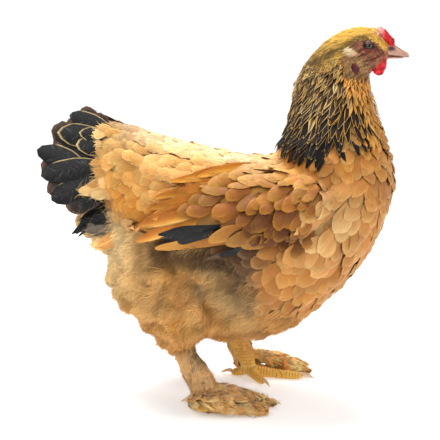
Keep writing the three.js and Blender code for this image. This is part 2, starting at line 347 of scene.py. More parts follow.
class Surface:
    # a closed surface that feathers are laid on
    def __init__(self, points, quads):
        self.points = points
        self.quads = quads
        self.normals = cornerNormals(points, quads)
        self.tree = BVHTree.FromPolygons(points.tolist(), quads.tolist())

    def nearest(self, queries):
        found = [self.tree.find_nearest(query) for query in queries.tolist()]
        places = np.array([hit[0] for hit in found])
        corners = self.quads[[hit[2] for hit in found]]
        gap = np.linalg.norm(self.points[corners] - places[:, None], axis=2)
        weight = 1 / (gap + 0.2)
        return places, unit((self.normals[corners] * weight[..., None]).sum(1))

    def read(self, queries, values):
        # values kept at the corners, read at places on the surface
        faces = [self.tree.find_nearest(query)[2] for query in queries.tolist()]
        return values[self.quads[faces]].mean(1)

    def fromSide(self, x, z, sign):
        # where a ray from the hen's side first meets the surface
        places = []
        for across, up in zip(x, z):
            hit = self.tree.ray_cast((across, sign * 300, up), (0, -sign, 0))
            places.append(hit[0] if hit[0] else (across, sign * 60, up))
        return np.array(places)

    def scatter(self, count, rng, within=None):
        corners = self.points[self.quads]
        diagonals = corners[:, 2:] - corners[:, :2]
        area = np.linalg.norm(np.cross(diagonals[:, 0], diagonals[:, 1]), axis=1)
        if within is not None:
            area = area * within(corners.mean(1))
        chosen = rng.choice(len(area), count, p=area / area.sum())
        s, t = rng.random((2, count, 1))
        a, b, c, d = (corners[chosen, k] for k in range(4))
        return mixed(mixed(a, b, s), mixed(d, c, s), t), self.quads[chosen, 0]


def spread(points, gaps):
    # keeps, in turn, each point that lies far enough from those kept before it
    cell = gaps.max()
    cells = np.floor(points / cell).astype(int).tolist()
    grid, kept = {}, []
    places, widths = points.tolist(), gaps.tolist()
    around = [(i, j, k) for i in (-1, 0, 1) for j in (-1, 0, 1) for k in (-1, 0, 1)]
    for index, (cx, cy, cz) in enumerate(cells):
        x, y, z = places[index]
        width = widths[index]
        taken = any((px - x) ** 2 + (py - y) ** 2 + (pz - z) ** 2 < (0.5 * (other + width)) ** 2
                    for i, j, k in around for px, py, pz, other in grid.get((cx + i, cy + j, cz + k), ()))
        if not taken:
            grid.setdefault((cx, cy, cz), []).append((x, y, z, width))
            kept.append(index)
    return np.array(kept, int)


# ---- the coat's outer surface, and the way the feathers lie on it

fleshNodes = ["trunk", "neck", "head", "thigh_left", "thigh_right", "vent_fluff", "wing_left", "wing_right"]
outline = {"voxel": 3, "rounds": 14, "grow": 0.4, "sink": 0.6, "puff": 5.2, "puffGap": 26, "puffEdge": 17,
           "puffPool": 5000, "mounds": 2, "groove": 2.6}
# how high the down reaches for each place along the body
downLine = ([-200, -130, -90, -50, 0, 30, 55, 80, 110, 150],
            [235, 228, 217, 206, 200, 192, 166, 128, 98, 70])


def fluffShare(points):
    # 1 where the coat is down: belly, flanks, thighs and vent
    x, y, z = folded(points).T
    return smooth(13, -17, z - np.interp(x, *downLine)) * smooth(150, 120, x)


def puffHeight(points):
    # soft pillows of down, with valleys where they meet
    rng = np.random.default_rng(31)
    pool = points[rng.choice(len(points), outline["puffPool"], replace=False)]
    centres = pool[spread(pool, np.full(len(pool), outline["puffGap"]))]
    tree = KDTree(len(centres))
    for index, centre in enumerate(centres.tolist()):
        tree.insert(centre, index)
    tree.balance()
    gaps = np.array([[hit[2] for hit in tree.find_n(place, 2)] for place in points.tolist()])
    # some of the valleys run out
    return smooth(0, outline["puffEdge"], gaps[:, 1] - gaps[:, 0] + 4 + 6 * swell(points, 30, 33))


def makeOutline():
    shells = [cadSurface(name, outline["grow"]) for name in fleshNodes]
    points, quads = remeshed(*gathered(shells), outline["voxel"])
    points = relax(points, quads, outline["rounds"])
    normals = cornerNormals(points, quads)
    down = fluffShare(points)
    pillows = puffHeight(points)
    height = down * (outline["puff"] * (pillows - 0.65) + outline["mounds"] * swell(points, 34, 5))
    height += 1.3 * swell(points, 30, 6) * smooth(400, 380, points[:, 2]) * (1 - down)
    gaps = gapsTo([cadSurface(name, 0) for name in fleshNodes], points)
    # a groove where the closed wing meets the body
    ofWing = np.array([name.startswith("wing") for name in fleshNodes])
    apart = gaps[:, ofWing].min(1) - gaps[:, ~ofWing].min(1)
    height -= outline["groove"] * np.exp(-((apart + 1) / 4) ** 2) * smooth(285, 270, points[:, 2])
    surface = Surface(points + normals * (height[:, None] - outline["sink"]), quads)
    surface.part = np.array([name.split("_")[0] for name in fleshNodes])[gaps.argmin(1)]
    surface.pillows = pillows
    return surface


hull = makeOutline()
print("outline of the coat:", len(hull.quads), "faces")

# each guide is a place on the hen's left and the way feathers point there
flowGuides = [
    ((192, 0, 438), (-1, 0, 0.5)), ((175, 0, 448), (-1, 0, 0.05)), ((141, 0, 440), (-1, 0, -0.35)),
    ((108, 0, 411), (-0.55, 0, -1)), ((90, 0, 375), (-0.3, 0, -1)), ((77, 0, 320), (-0.35, 0, -1)),
    ((70, 0, 297), (-0.8, 0, -0.5)), ((178, 18, 430), (-1, 0, -0.02)), ((150, 20, 428), (-1, 0, -0.4)),
    ((165, 20, 405), (-0.9, 0, -0.45)), ((150, 20, 390), (-0.35, 0, -1)), ((187, 8, 400), (-0.7, 0, -0.7)),
    ((178, 0, 375), (-0.05, 0, -1)), ((195, 0, 330), (0.2, 0, -1)), ((120, 50, 350), (-0.3, 0, -1)),
    ((110, 65, 300), (-0.4, 0, -1)), ((160, 60, 320), (0, 0, -1)), ((208, 0, 265), (0, 0, -1)),
    ((190, 40, 230), (-0.35, 0, -1)), ((165, 0, 155), (-0.8, 0, -0.7)), ((155, 75, 220), (-0.5, 0, -0.9)),
    ((120, 85, 150), (-0.75, 0, -0.6)), ((100, 0, 100), (-1, 0, -0.3)), ((40, 0, 75), (-1, 0, 0)),
    ((60, 95, 180), (-0.85, 0, -0.5)), ((70, 85, 296), (-0.95, 0, -0.25)), ((20, 0, 300), (-1, 0, 0.08)),
    ((-60, 0, 318), (-1, 0, 0.1)), ((-60, 70, 290), (-0.9, 0, -0.4)), ((-110, 40, 310), (-1, 0, 0.02)),
    ((-120, 60, 260), (-0.9, 0, -0.5)), ((-140, 0, 335), (-1, 0, 0.3)), ((-20, 95, 150), (-0.7, 0, -0.7)),
    ((-20, 80, 90), (-0.2, 0, -1)), ((-80, 70, 130), (-0.75, 0, -0.65)), ((-130, 40, 160), (-0.85, 0, -0.5)),
    ((-160, 20, 210), (-0.85, 0, -0.5)), ((-60, 0, 90), (-0.9, 0, -0.2)), ((135, 100, 255), (-0.6, 0, -0.8)),
    ((95, 105, 240), (-0.5, 0, -0.86)), ((45, 105, 235), (-0.75, 0, -0.65)),
    ((45, 100, 278), (-0.94, 0, -0.33)), ((-20, 100, 245), (-0.87, 0, -0.48)),
    ((-60, 95, 235), (-0.88, 0, -0.46)), ((110, 102, 215), (-0.4, 0, -0.9)),
]
guidePlaces = np.array([place for place, way in flowGuides], float)
guideWays = unit(np.array([way for place, way in flowGuides], float))


def flowAt(points):
    gap = ((folded(points)[:, None] - guidePlaces[None]) ** 2).sum(2)
    weight = 1 / (gap + 60) ** 1.8
    return unit((weight[..., None] * guideWays[None]).sum(1))


def walk(surface, starts, lengths, turns=0, steps=5, flow=flowAt):
    # centre lines that run over a surface from their roots
    place, normal = surface.nearest(starts)
    places, normals = [place], [normal]
    turns = np.broadcast_to(np.asarray(turns, float), len(starts))[:, None]
    for step in range(steps):
        way = flow(place)
        way = unit(way - normal * dot(way, normal))
        way = way * np.cos(turns) + np.cross(normal, way) * np.sin(turns)
        place, normal = surface.nearest(place + way * (lengths / steps)[:, None])
        places.append(place)
        normals.append(normal)
    return np.stack(places, 1), np.stack(normals, 1)


# ---- feathers

def pathLengths(paths):
    return np.linalg.norm(np.diff(paths, axis=1), axis=2).sum(1)[:, None, None]


def lineFrame(paths, normals, share):
    # the place, the outward way and the sideways way at a share of each centre line
    steps = paths.shape[1] - 1
    s = np.clip(share, 0, 1) * steps
    i = np.minimum(s.astype(int), steps - 1)
    f = (s - i)[..., None]
    k = np.arange(len(paths)).reshape(-1, *[1] * (share.ndim - 1))
    centre = mixed(paths[k, i], paths[k, i + 1], f)
    up = unit(mixed(normals[k, i], normals[k, i + 1], f))
    return centre, up, unit(np.cross(up, unit(paths[k, i + 1] - paths[k, i])))


def gridQuads(rows, columns):
    a = (np.arange(rows - 1)[:, None] * columns + np.arange(columns - 1)).ravel()
    return np.stack([a, a + 1, a + columns + 1, a + columns], 1)


def onGrid(values, row, column):
    # values at fractional rows and columns of each feather's grid
    i, j = np.floor(row).astype(int), np.floor(column).astype(int)
    f, g = (row - i)[..., None], (column - j)[..., None]
    k = np.arange(len(values))[:, None]
    upper = mixed(values[k, i, j], values[k, i, j + 1], g)
    lower = mixed(values[k, i + 1, j], values[k, i + 1, j + 1], g)
    return mixed(upper, lower, f)


def overlayHairs(points, vane, colour, up, side, u, lengths, look, rng):
    # fine barbs that lie on a vane and run out past its rim
    n, rows, columns = points.shape[:3]
    m = look["hairs"]
    column = rng.uniform(0.02, columns - 1.02, (n, m))
    start = rng.uniform(look["hairFrom"], 0.97, (n, m))
    reach = look["hair"] * rng.uniform(0.6, 1.3, (n, m)) / lengths[..., 0]
    lean = np.interp(column, np.arange(columns), u)
    centre, ends = [], []
    for part in (0, 0.5, 1):
        share = start + reach * part
        row = np.clip(share, 0, 0.999) * (rows - 1)
        spot = np.clip(column + np.sign(lean) * part * look["flare"], 0.01, columns - 1.02)
        place = onGrid(points, row, spot)
        before = onGrid(points, np.maximum(row - 0.6, 0), column)
        out = np.clip(share - 0.999, 0, 1) * lengths[..., 0]
        raised = onGrid(up, row, spot) * (look["raise"] * (0.2 + part))
        way = unit(place - before) + onGrid(side, row, spot) * (lean * 0.35)[..., None]
        centre.append(place + raised + way * out[..., None])
        ends.append(row)
    foot, bend, tip = centre
    wide = onGrid(side, ends[0], column) * (look["fine"] * rng.uniform(0.7, 1.3, (n, m)))[..., None]
    strand = np.stack([foot - wide, foot + wide, bend - wide * 0.7, bend + wide * 0.7, tip], 2)
    tints = np.stack([onGrid(colour, ends[k], column) for k in (0, 0, 1, 1, 2)], 2)
    tints = tints * rng.uniform(1 - look["uneven"], 1 + look["uneven"], (n, m, 1, 1))
    reached = np.repeat(onGrid(vane, ends[0], column)[:, :, None], 5, 2)
    faces = np.array([[0, 1, 3], [0, 3, 2], [2, 3, 4]])[None] + np.arange(m)[:, None, None] * 5
    return [value.reshape(n, m * 5, 3) for value in (strand, reached, tints)] + [faces.reshape(-1, 3)]


# tip: how round the end is; droop and cup: how the edges turn in; hairs: fine barbs over the vane
softVane = {"rows": 9, "columns": 13, "tip": 0.45, "ragged": 0.16, "cup": 0.36, "droop": 2.8, "hairs": 84,
            "hair": 8.5, "hairFrom": 0.55, "flare": 0.6, "raise": 0.6, "uneven": 0.1, "depth": 5.2, "lift": 1,
            "foot": 0.4, "widest": 0.6, "roll": 0.08, "fine": 0.22}
stiffVane = {**softVane, "rows": 16, "columns": 9, "tip": 0.14, "ragged": 0.015, "cup": 0.14, "droop": 0,
             "hairs": 40, "hair": 9, "hairFrom": 0.1, "raise": 0.12, "depth": 2, "lift": 0, "foot": 0.45,
             "roll": 0.03, "uneven": 0.14}
spearVane = {**softVane, "columns": 7, "cup": 0.26, "droop": 0.8, "hairs": 0, "depth": 5.5, "lift": 2,
             "foot": 0.3, "widest": 0.58, "roll": 0.12, "spear": 0.75}


def layVanes(paths, normals, widths, look, tint, rng, paint=None):
    # flat feathers: a cupped sheet along each centre line, with fine barbs standing out of its rim
    n, rows = len(paths), look["rows"]
    u = np.array(look.get("across", np.linspace(-1, 1, look["columns"])), float)
    t = 1 - (1 - np.linspace(0, 1, rows)[None, :, None]) ** 1.3
    if "spear" in look:
        reach = np.ones((n, 1, len(u)))
    else:
        reach = 1 - look["tip"] * (1 - np.sqrt(1 - (0.97 * u) ** 2))
        reach = reach[None, None] * (1 - look["ragged"] * rng.random((n, 1, len(u))))
    share = t * reach
    lengths = pathLengths(paths)
    half = widths[:, None, None] / 2
    breadth = look["foot"] + (1 - look["foot"]) * smooth(0, look["widest"], share)
    breadth = breadth * (1 - look.get("taper", 0) * smooth(0.5, 1, share))
    if "spear" in look:
        point = np.clip((1.02 - share) / (1 - look["widest"]), 0, 1) ** look["spear"]
        breadth = np.minimum(breadth, point * 1.05)
    centre, up, side = lineFrame(paths, normals, share)
    roll = rng.normal(0, look["roll"], n)[:, None, None, None]
    side, up = side * np.cos(roll) + up * np.sin(roll), up * np.cos(roll) - side * np.sin(roll)
    across = u[None, None] * half * breadth
    depth = look["depth"] * rng.uniform(0.92, 1.08, n)[:, None, None]
    lift = look["lift"] * rng.normal(1, 0.3, n)[:, None, None]
    rise = -depth * (1 - share) ** 1.25 + lift * share
    rise = rise - look["cup"] * half * breadth * (u ** 2)[None, None] * (0.3 + 0.7 * share)
    rise = rise - look["droop"] * smooth(0.72, 1.03, share) ** 1.6
    bend = rng.normal(0, 0.06, n)[:, None, None] * lengths * share ** 2
    points = centre + side * (across + bend)[..., None] + up * rise[..., None]
    chance = np.broadcast_to(rng.random(n)[:, None, None], share.shape)
    vane = np.stack([across, share * lengths, chance], -1)
    colour = np.broadcast_to(tint[:, None, None], (*share.shape, 3)).copy()
    if paint is not None:
        colour = paint(colour, share / reach, np.broadcast_to(u[None, None], share.shape))
    size = rows * len(u)
    stacks = [value.reshape(n, size, 3) for value in (points, vane, colour)]
    triangles = np.zeros((0, 3), int)
    if look["hairs"]:
        hairs = overlayHairs(points, vane, colour, up, side, u, lengths, look, rng)
        triangles = size + hairs.pop()
        stacks = [np.concatenate(pair, 1) for pair in zip(stacks, hairs)]
    return {"points": stacks[0], "vane": stacks[1], "tint": stacks[2], "quads": gridQuads(rows, len(u)),
            "triangles": triangles, "roots": paths[:, 0]}


def layDown(paths, normals, look, tint, rng):
    # downy tufts: a few slim curved strands from one root
    n, m, rows = len(paths), look["strands"], look["rows"]
    lengths = pathLengths(paths)
    t = np.linspace(0, 1, rows + 1)[None, None]
    share = t * rng.uniform(0.5, 1, (n, m))[..., None]
    centre, up, side = lineFrame(paths, normals, share)
    angle = rng.normal(0, look["spread"], (n, m))[..., None]
    curl = rng.normal(0, look["curl"], (n, m))[..., None]
    start = rng.normal(0, look["gap"], (n, m))[..., None]
    depth = look["depth"] * rng.uniform(0.6, 1.1, (n, m))[..., None]
    lift = rng.normal(look["lift"], look["lift"] * 0.5 + 0.2, (n, m))[..., None]
    sideways = start + lengths * (np.sin(angle) * share + curl * share ** 2)
    rise = -depth * (1 - share) ** 1.5 + lift * share ** 1.5
    middle = centre + side * sideways[..., None] + up * rise[..., None]
    turn = rng.uniform(-1, 1, (n, m))[..., None, None] * look.get("twist", 0.9)
    wide = side * np.cos(turn) + up * np.sin(turn)
    width = look["width"] * rng.uniform(0.7, 1.3, (n, m))[..., None] * (1 - t) ** 0.6 / 2
    left, right = middle - wide * width[..., None], middle + wide * width[..., None]
    pairs = np.stack([left, right], 3)[:, :, :-1].reshape(n, m, rows * 2, 3)
    strand = np.concatenate([pairs, middle[:, :, -1:]], 2)
    size = rows * 2 + 1
    chance = np.broadcast_to(rng.random((n, m))[..., None], (n, m, size))
    reach = np.concatenate([np.repeat(share[:, :, :-1], 2, 2), share[:, :, -1:]], 2)
    vane = np.stack([np.zeros_like(reach), reach * lengths, chance], -1)
    shade = rng.uniform(0.88, 1.1, (n, m, 1)) * (1 - look.get("rootShade", 0.25) * (1 - reach))
    colour = tint[:, None, None] * shade[..., None]
    first = np.array([[2 * k, 2 * k + 1, 2 * k + 3, 2 * k + 2] for k in range(rows - 1)]).reshape(-1, 4)
    last = np.array([[2 * rows - 2, 2 * rows - 1, 2 * rows]])
    quads = (first[None] + np.arange(m)[:, None, None] * size).reshape(-1, 4)
    triangles = (last[None] + np.arange(m)[:, None, None] * size).reshape(-1, 3)
    points, vane, tint = [value.reshape(n, m * size, 3) for value in (strand, vane, colour)]
    return {"points": points, "vane": vane, "tint": tint, "quads": quads, "triangles": triangles,
            "roots": paths[:, 0]}


def unwrap(roots, axis):
    # the skin's own shape rolled out: the angle round an axis line, and the way along it
    start, end = np.array(axis, float)
    way = unit(end - start)
    reach = (roots - start) @ way
    out = roots - start - reach[:, None] * way
    level = unit(np.cross(way, [0, 1, 0]))
    angle = np.arctan2(out @ level, out[:, 1])
    middle = math.atan2(np.sin(angle).mean(), np.cos(angle).mean())
    angle = (angle - middle + math.pi) % (2 * math.pi)
    rolled = np.stack([angle, reach], 1)
    low, high = rolled.min(0), rolled.max(0)
    return 0.02 + 0.96 * (rolled - low) / (high - low)


patchSize = 0.003  # how wide one feather is on the bake map
floorGap = 0.8  # how far the coat stays above the floor


def makeObject(name, points, quads, triangles, fields=None, uv=None):
    mesh = bpy.data.meshes.new(name)
    corners = np.concatenate([quads.ravel(), triangles.ravel()]).astype(np.int32)
    sizes = np.concatenate([np.full(len(quads), 4), np.full(len(triangles), 3)])
    starts = np.concatenate([[0], np.cumsum(sizes)[:-1]]).astype(np.int32)
    mesh.vertices.add(len(points))
    mesh.vertices.foreach_set("co", (points * mm).astype(np.float32).ravel())
    mesh.loops.add(len(corners))
    mesh.loops.foreach_set("vertex_index", corners)
    mesh.polygons.add(len(sizes))
    mesh.polygons.foreach_set("loop_start", starts)
    mesh.polygons.foreach_set("use_smooth", np.ones(len(sizes), bool))
    mesh.update(calc_edges=True)
    for key, values in (fields or {}).items():
        kind = "FLOAT" if values.ndim == 1 else "FLOAT_VECTOR"
        layer = mesh.attributes.new(key, kind, "POINT")
        layer.data.foreach_set("value" if values.ndim == 1 else "vector", values.astype(np.float32).ravel())
    if uv is not None:
        layer = mesh.uv_layers.new(name="OFBake")
        layer.uv.foreach_set("vector", uv[corners].astype(np.float32).ravel())
    return placed(name, mesh)


def fit(piece, finish, slotName, *nodes):
    # gives the piece its finish, hangs it on the root, and hides the model's parts that it stands for
    piece.data.materials.append(finish)
    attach(piece, "root")
    if nodes:
        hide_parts(*nodes)


def makeCoat(name, batches, finish, slotName, axis, nodes=()):
    points, vanes, tints = (np.concatenate([batch[key].reshape(-1, 3) for batch in batches])
                            for key in ("points", "vane", "tint"))
    uvs, quads, triangles = [], [], []
    start = seen = 0
    home = unwrap(np.concatenate([batch["roots"] for batch in batches]), axis)
    for batch in batches:
        n, size = batch["points"].shape[:2]
        offsets = start + np.arange(n)[:, None, None] * size
        quads.append((batch["quads"][None] + offsets).reshape(-1, 4))
        triangles.append((batch["triangles"][None] + offsets).reshape(-1, 3))
        local = batch["vane"][..., :2]
        low, high = local.min(1, keepdims=True), local.max(1, keepdims=True)
        inside = (local - low) / np.maximum(high - low, 1e-3) - 0.5
        # strands have no width on the map, so their vertices are nudged to the two sides in turn
        nudge = (np.arange(size) % 2 - 0.5) * 0.5
        inside[..., 0] = np.where(high[..., 0] - low[..., 0] < 1e-3, nudge, inside[..., 0])
        uvs.append((home[seen:seen + n, None] + inside * patchSize).reshape(-1, 2))
        start += n * size
        seen += n
    points[:, 2] = np.maximum(points[:, 2], floorGap)
    made = makeObject(name, points, np.concatenate(quads), np.concatenate(triangles),
                      {"vane": vanes, "tint": np.clip(tints, 0, 1)},
                      np.clip(np.concatenate(uvs), 0.001, 0.999))
    fit(made, finish, slotName, *nodes)
    count = 2 * sum(map(len, quads)) + sum(map(len, triangles))
    print(f"{name}: {seen} feathers, {count} triangles")


def featherFinish(name, look):
    # the tint comes with each feather; the nodes add barbs, shafts, soft patches and uneven growth
    made = Finish(name)
    across, reach, chance = made.parts(made.field("vane", "Vector"))
    tint = made.field("tint", "Vector")
    slanted = made.join((reach - across.absolute() * look["slant"]) * look["barbScale"],
                        across * look["fanScale"], chance * 80)
    barbs = made.noise(slanted, 1, 3, 0.65)
    patch = made.noise(made.place(), look["patchScale"], 3, 0.6)
    shaft = made.between(across.absolute(), 0.75, 0.2) * look["shaft"]
    light = (chance - 0.5) * look["uneven"] + (barbs - 0.5) * look["streak"] + (patch - 0.5) * look["patch"]
    light = light + shaft + 1
    colour = made.blend(1.0, tint, made.join(light, light, light), "MULTIPLY")
    # a painted sheen: lighter grey laid over the barbs
    if "gloss" in look:
        colour = made.blend(made.between(barbs, 0.52, 0.8) * look["gloss"], colour, tone(150, 146, 148))
    normal = made.bump(barbs, look["bump"], 0.001)
    roughness = made.between(barbs, 0.2, 0.8) * 0.2 + look["roughness"]
    return made.surface(colour, roughness, normal, Sheen_Weight=look["sheen"], Sheen_Roughness=0.5,
                        Specular_IOR_Level=look["shine"])


softLook = {"slant": 0.3, "barbScale": 0.07, "fanScale": 0.75, "patchScale": 30, "uneven": 0.2, "streak": 0.6,
            "patch": 0.6, "bump": 0.4, "roughness": 0.62, "sheen": 0.12, "shaft": 0.0, "shine": 0.3}
contourFinish = featherFinish("buff_feathers", softLook)
downFinish = featherFinish("down", {**softLook, "streak": 0.3, "uneven": 0.3, "bump": 0.1, "roughness": 0.72})
hackleFinish = featherFinish("laced_feathers", {**softLook, "uneven": 0.3, "roughness": 0.55, "sheen": 0.02,
                                                "shine": 0.16})
darkFinish = featherFinish("dark_quills", {**softLook, "uneven": 0.5, "streak": 1.1, "patch": 1, "shaft": 0.5,
                                           "slant": 0.9, "barbScale": 0.32, "fanScale": 0.1, "roughness": 0.4,
                                           "sheen": 0.04, "gloss": 0.3})


# places where the down is painted darker grey, partly grey down and partly painted shade under the wing:
# centre, radius and share
greyPatches = [((-6, 95, 150), 18, 0.7), ((35, 90, 138), 30, 0.3), ((42, 95, 170), 18, 0.8),
               ((14, 90, 188), 26, 0.85), ((85, 78, 143), 10, 0.8), ((-128, 52, 225), 24, 0.6),
               ((40, 88, 190), 22, 0.8), ((-118, 45, 242), 12, 0.7)]
# where the closed wing shades the down
wingShade = ([-80, -60, -20, 20, 45, 70], [200, 194, 190, 192, 198, 206])


def coatColour(points):
    # the markings, with painted highlight and shade in places: the same for the skin and for each feather at
    # its root
    x, y, z = folded(points).T
    down = fluffShare(points)
    colour = np.tile(plumage["buff"], (len(points), 1))

    def lay(name, share):
        colour[:] = mixed(colour, plumage[name], share[:, None])

    lay("gold", smooth(250, 300, z) * smooth(130, 90, x) * 0.8)
    lay("gold", smooth(-20, -90, x) * smooth(190, 240, z) * 0.8)
    lay("gold", smooth(240, 320, z) * smooth(135, 165, x) * 0.9)
    lay("rust", smooth(0.1, 0.9, swell(points, 42, 22)) * 0.25 * (1 - 0.6 * down))
    lay("rust", smooth(235, 270, z) * smooth(140, 172, x) * smooth(345, 320, z) * 0.3)
    lay("tan", down * 0.6)
    lay("gold", down * smooth(0.0, 0.9, swell(points, 55, 24)) * 0.4)
    lay("rust", down * smooth(0.1, 0.9, swell(points, 34, 25)) * 0.35)
    # the rear of the down is paler: partly paler fluff at the vent, partly painted highlight where the light
    # from behind falls
    lay("pale", down * smooth(-40, -130, x) * smooth(105, 165, z) * 0.85)
    lay("pale", near(points, (-112, 60, 185), 42) * down * 0.6)
    lay("creamHighlight", near(points, (-122, 56, 192), 46) * down * 0.4)
    lay("brown", near(points, (36, 95, 148), 40) * 0.66)
    lay("pale", smooth(0.1, 0.9, swell(points, 60, 21)) * 0.25)
    # the shoulder is paler: partly paler feathers, partly painted light
    lay("pale", near(points, (150, 90, 235), 38) * 0.62 + near(points, (120, 85, 205), 32) * 0.3)
    # the back and the saddle are painted lighter along the top, a painted highlight where the light from
    # above falls
    lay("pale", smooth(75, 25, y) * smooth(250, 285, z) * smooth(90, 60, x) * 0.6)
    lay("pale", smooth(10, -60, x) * smooth(235, 275, z) * 0.2)
    ridge = smooth(46, 14, y) * smooth(262, 292, z) * smooth(62, 30, x) * smooth(-120, -90, x)
    lay("creamHighlight", ridge * 0.75)
    uneven = 0.7 + 0.3 * np.clip(swell(points, 16, 23), -1, 1)
    for centre, radius, share in greyPatches:
        lay("grey", near(points, centre, radius) * share * uneven)
    below = z - np.interp(x, *wingShade)
    under = smooth(14, 4, below) * smooth(-26, -6, below) * smooth(-84, -60, x) * smooth(80, 55, x)
    lay("umber", under * smooth(45, 65, y) * 0.85)
    # painted shade under the wing, and deeper brown low on the thigh
    lay("umber", near(points, (34, 98, 180), 22) * 0.85 + near(points, (50, 92, 132), 14) * 0.4)
    lay("gold", smooth(402, 416, z) * 0.9)
    lay("brown", smooth(412, 398, z) * smooth(300, 330, z) * smooth(178, 160, x) * 0.6)
    return np.clip(colour, 0, 1)


def rootsOn(surface, count, gap, allowed, rng, within=None):
    # the roots of feathers, a gap apart, where they are allowed
    places, corners = surface.scatter(count, rng, within)
    places = places[allowed(places, surface.part[corners])]
    return places[spread(places, gap(places) if callable(gap) else np.full(len(places), gap))]


# ---- breast, shoulders, back and saddle

breastCoat = {"gap": 11.6, "length": 37, "width": 20.5, "candidates": 50000, "shade": (0.82, 0.8, 0.84),
              "vane": {**softVane, "tip": 0.55, "ragged": 0.05, "cup": 0.42, "droop": 3.8, "hairs": 56,
                       "hair": 5, "raise": 0.25}}
saddleCoat = {"gap": 9.8, "length": 33, "width": 20, "candidates": 40000, "shade": (0.92, 0.87, 0.76),
              "vane": {**softVane, "tip": 0.5, "ragged": 0.06, "droop": 3.2, "hairs": 70, "hair": 8,
                       "raise": 0.5, "lift": 0.1, "roll": 0.03, "depth": 4.4}}
capeEdge = ([60, 70, 83, 97, 108, 124, 133, 143, 152, 163, 175, 180],
            [301, 304, 300, 293, 290, 289, 292, 300, 312, 322, 333, 385])


def capeLine(points):
    # how low the tips of the hackle hang
    return np.interp(points[:, 0], *capeEdge)


def growBody(rng, coat, front):
    def size(points):
        x, y, z = folded(points).T
        small = 0.5 * smooth(270, 350, z) * smooth(110, 150, x) if front else 0.25 * smooth(-20, 60, x)
        return 1 - small

    def allowed(points, part):
        x, y, z = folded(points).T
        body = np.isin(part, ["trunk", "neck"]) & (z < 352)
        hidden = (part == "neck") & (z > capeLine(points) + 22) & (x < 176)
        side = (x > 62) == front
        body |= (part == "wing") & (x > 120)
        return body & ~hidden & side & (fluffShare(points) < 0.6) & ((x > -145) | (z > 250))

    places = rootsOn(hull, coat["candidates"], lambda p: coat["gap"] * size(p), allowed, rng)
    scale = size(places) * rng.uniform(0.8, 1.18, len(places))
    paths, normals = walk(hull, places, coat["length"] * scale, rng.normal(0, 0.2, len(places)))
    tint = coatColour(paths[:, 3]) * varied(rng, 0.93, 1.06, places) * coat["shade"]
    return layVanes(paths, normals, coat["width"] * scale, coat["vane"], tint, rng, paintSoft)


def paintSoft(colour, share, across):
    # a deeper foot, painted shade where the feather above covers it, and a lighter rim, partly a paler fringe
    # and partly painted light at the tip
    foot = smooth(0.95, 0.5, share)[..., None]
    rim = (smooth(0.72, 1, share) * 0.1 + smooth(0.6, 1, np.abs(across)) * 0.04)[..., None]
    return mixed(colour * (1 - foot * [0.2, 0.34, 0.46]), plumage["pale"], rim)


rng = np.random.default_rng(11)
makeCoat("breast_feathers", [growBody(rng, breastCoat, True)], contourFinish, "buff_plumage",
         ((60, 0, 180), (170, 0, 240)))
makeCoat("saddle_feathers", [growBody(rng, saddleCoat, False)], contourFinish, "buff_plumage",
         ((60, 0, 200), (-160, 0, 260)))


# ---- down on belly, thighs and vent

downCoat = {"gap": 11, "length": 26, "width": 20, "candidates": 30000, "lowest": 92,
            "wispGap": 2.5, "wispCandidates": 300000, "wispLength": (13, 23),
            "looseGap": 4.2, "looseCandidates": 20000, "looseLength": (14, 22)}
downVane = {**softVane, "columns": 9, "tip": 0.5, "ragged": 0.2, "cup": 0.2, "droop": 2, "hairs": 16,
            "hair": 10, "hairFrom": 0.4, "raise": 0.8, "flare": 0.9, "depth": 10, "lift": -4, "roll": 0.05,
            "fine": 0.24}
wispTuft = {"strands": 5, "rows": 3, "spread": 0.24, "curl": 0.22, "gap": 1.7, "depth": 4.2, "lift": 1.3,
            "width": 0.8, "rootShade": 0.26, "twist": 0.35}
looseTuft = {**wispTuft, "strands": 6, "spread": 0.5, "curl": 0.3, "lift": 5.5, "width": 0.45, "depth": 2,
             "twist": 0.9}


def growDown(rng):
    def allowed(points, part):
        chance = rng.random(len(points))
        return (fluffShare(points) > 0.3 + 0.4 * chance) & (part != "wing") & (part != "head")

    places = rootsOn(hull, downCoat["candidates"], downCoat["gap"], allowed, rng)
    places = places[places[:, 2] > downCoat["lowest"]]
    scale = rng.uniform(0.8, 1.15, len(places))
    paths, normals = walk(hull, places, downCoat["length"] * scale, rng.normal(0, 0.3, len(places)))
    tint = coatColour(paths[:, 3]) * varied(rng, 0.9, 1.08, places)
    puffs = layVanes(paths, normals, downCoat["width"] * scale, downVane, tint, rng, paintDown)
    places = rootsOn(hull, downCoat["wispCandidates"], downCoat["wispGap"], allowed, rng)
    turns = 0.55 * swell(places, 36, 27) + rng.normal(0, 0.16, len(places))
    lengths = rng.uniform(*downCoat["wispLength"], len(places))
    paths, normals = walk(hull, places, lengths, turns, steps=3)
    colour = coatColour(paths[:, 1])
    # wisps are painted paler on the pillow tops and darker in the valleys: painted highlight and shade
    top = hull.read(paths[:, 1], hull.pillows)[:, None]
    bright = smooth(0.06, 0.16, colour.mean(1))[:, None]
    pale = colour * (0.72 + 0.2 * top) + plumage["pale"] * (0.08 + 0.22 * top) * bright
    pale = pale * (1 + 0.1 * swell(places, 12, 28))[:, None]
    wisps = layDown(paths, normals, wispTuft, pale * varied(rng, 0.94, 1.06, places), rng)
    # a few longer ones stand out all over
    places = rootsOn(hull, downCoat["looseCandidates"], downCoat["looseGap"], allowed, rng)
    lengths = rng.uniform(*downCoat["looseLength"], len(places))
    paths, normals = walk(hull, places, lengths, rng.normal(0, 0.3, len(places)), steps=3)
    loose = layDown(paths, normals, looseTuft, coatColour(paths[:, 1]) * varied(rng, 1, 1.15, places), rng)
    return puffs, wisps, loose


def paintDown(colour, share, across):
    return 0.4 * colour + 0.6 * paintSoft(colour, share, across)


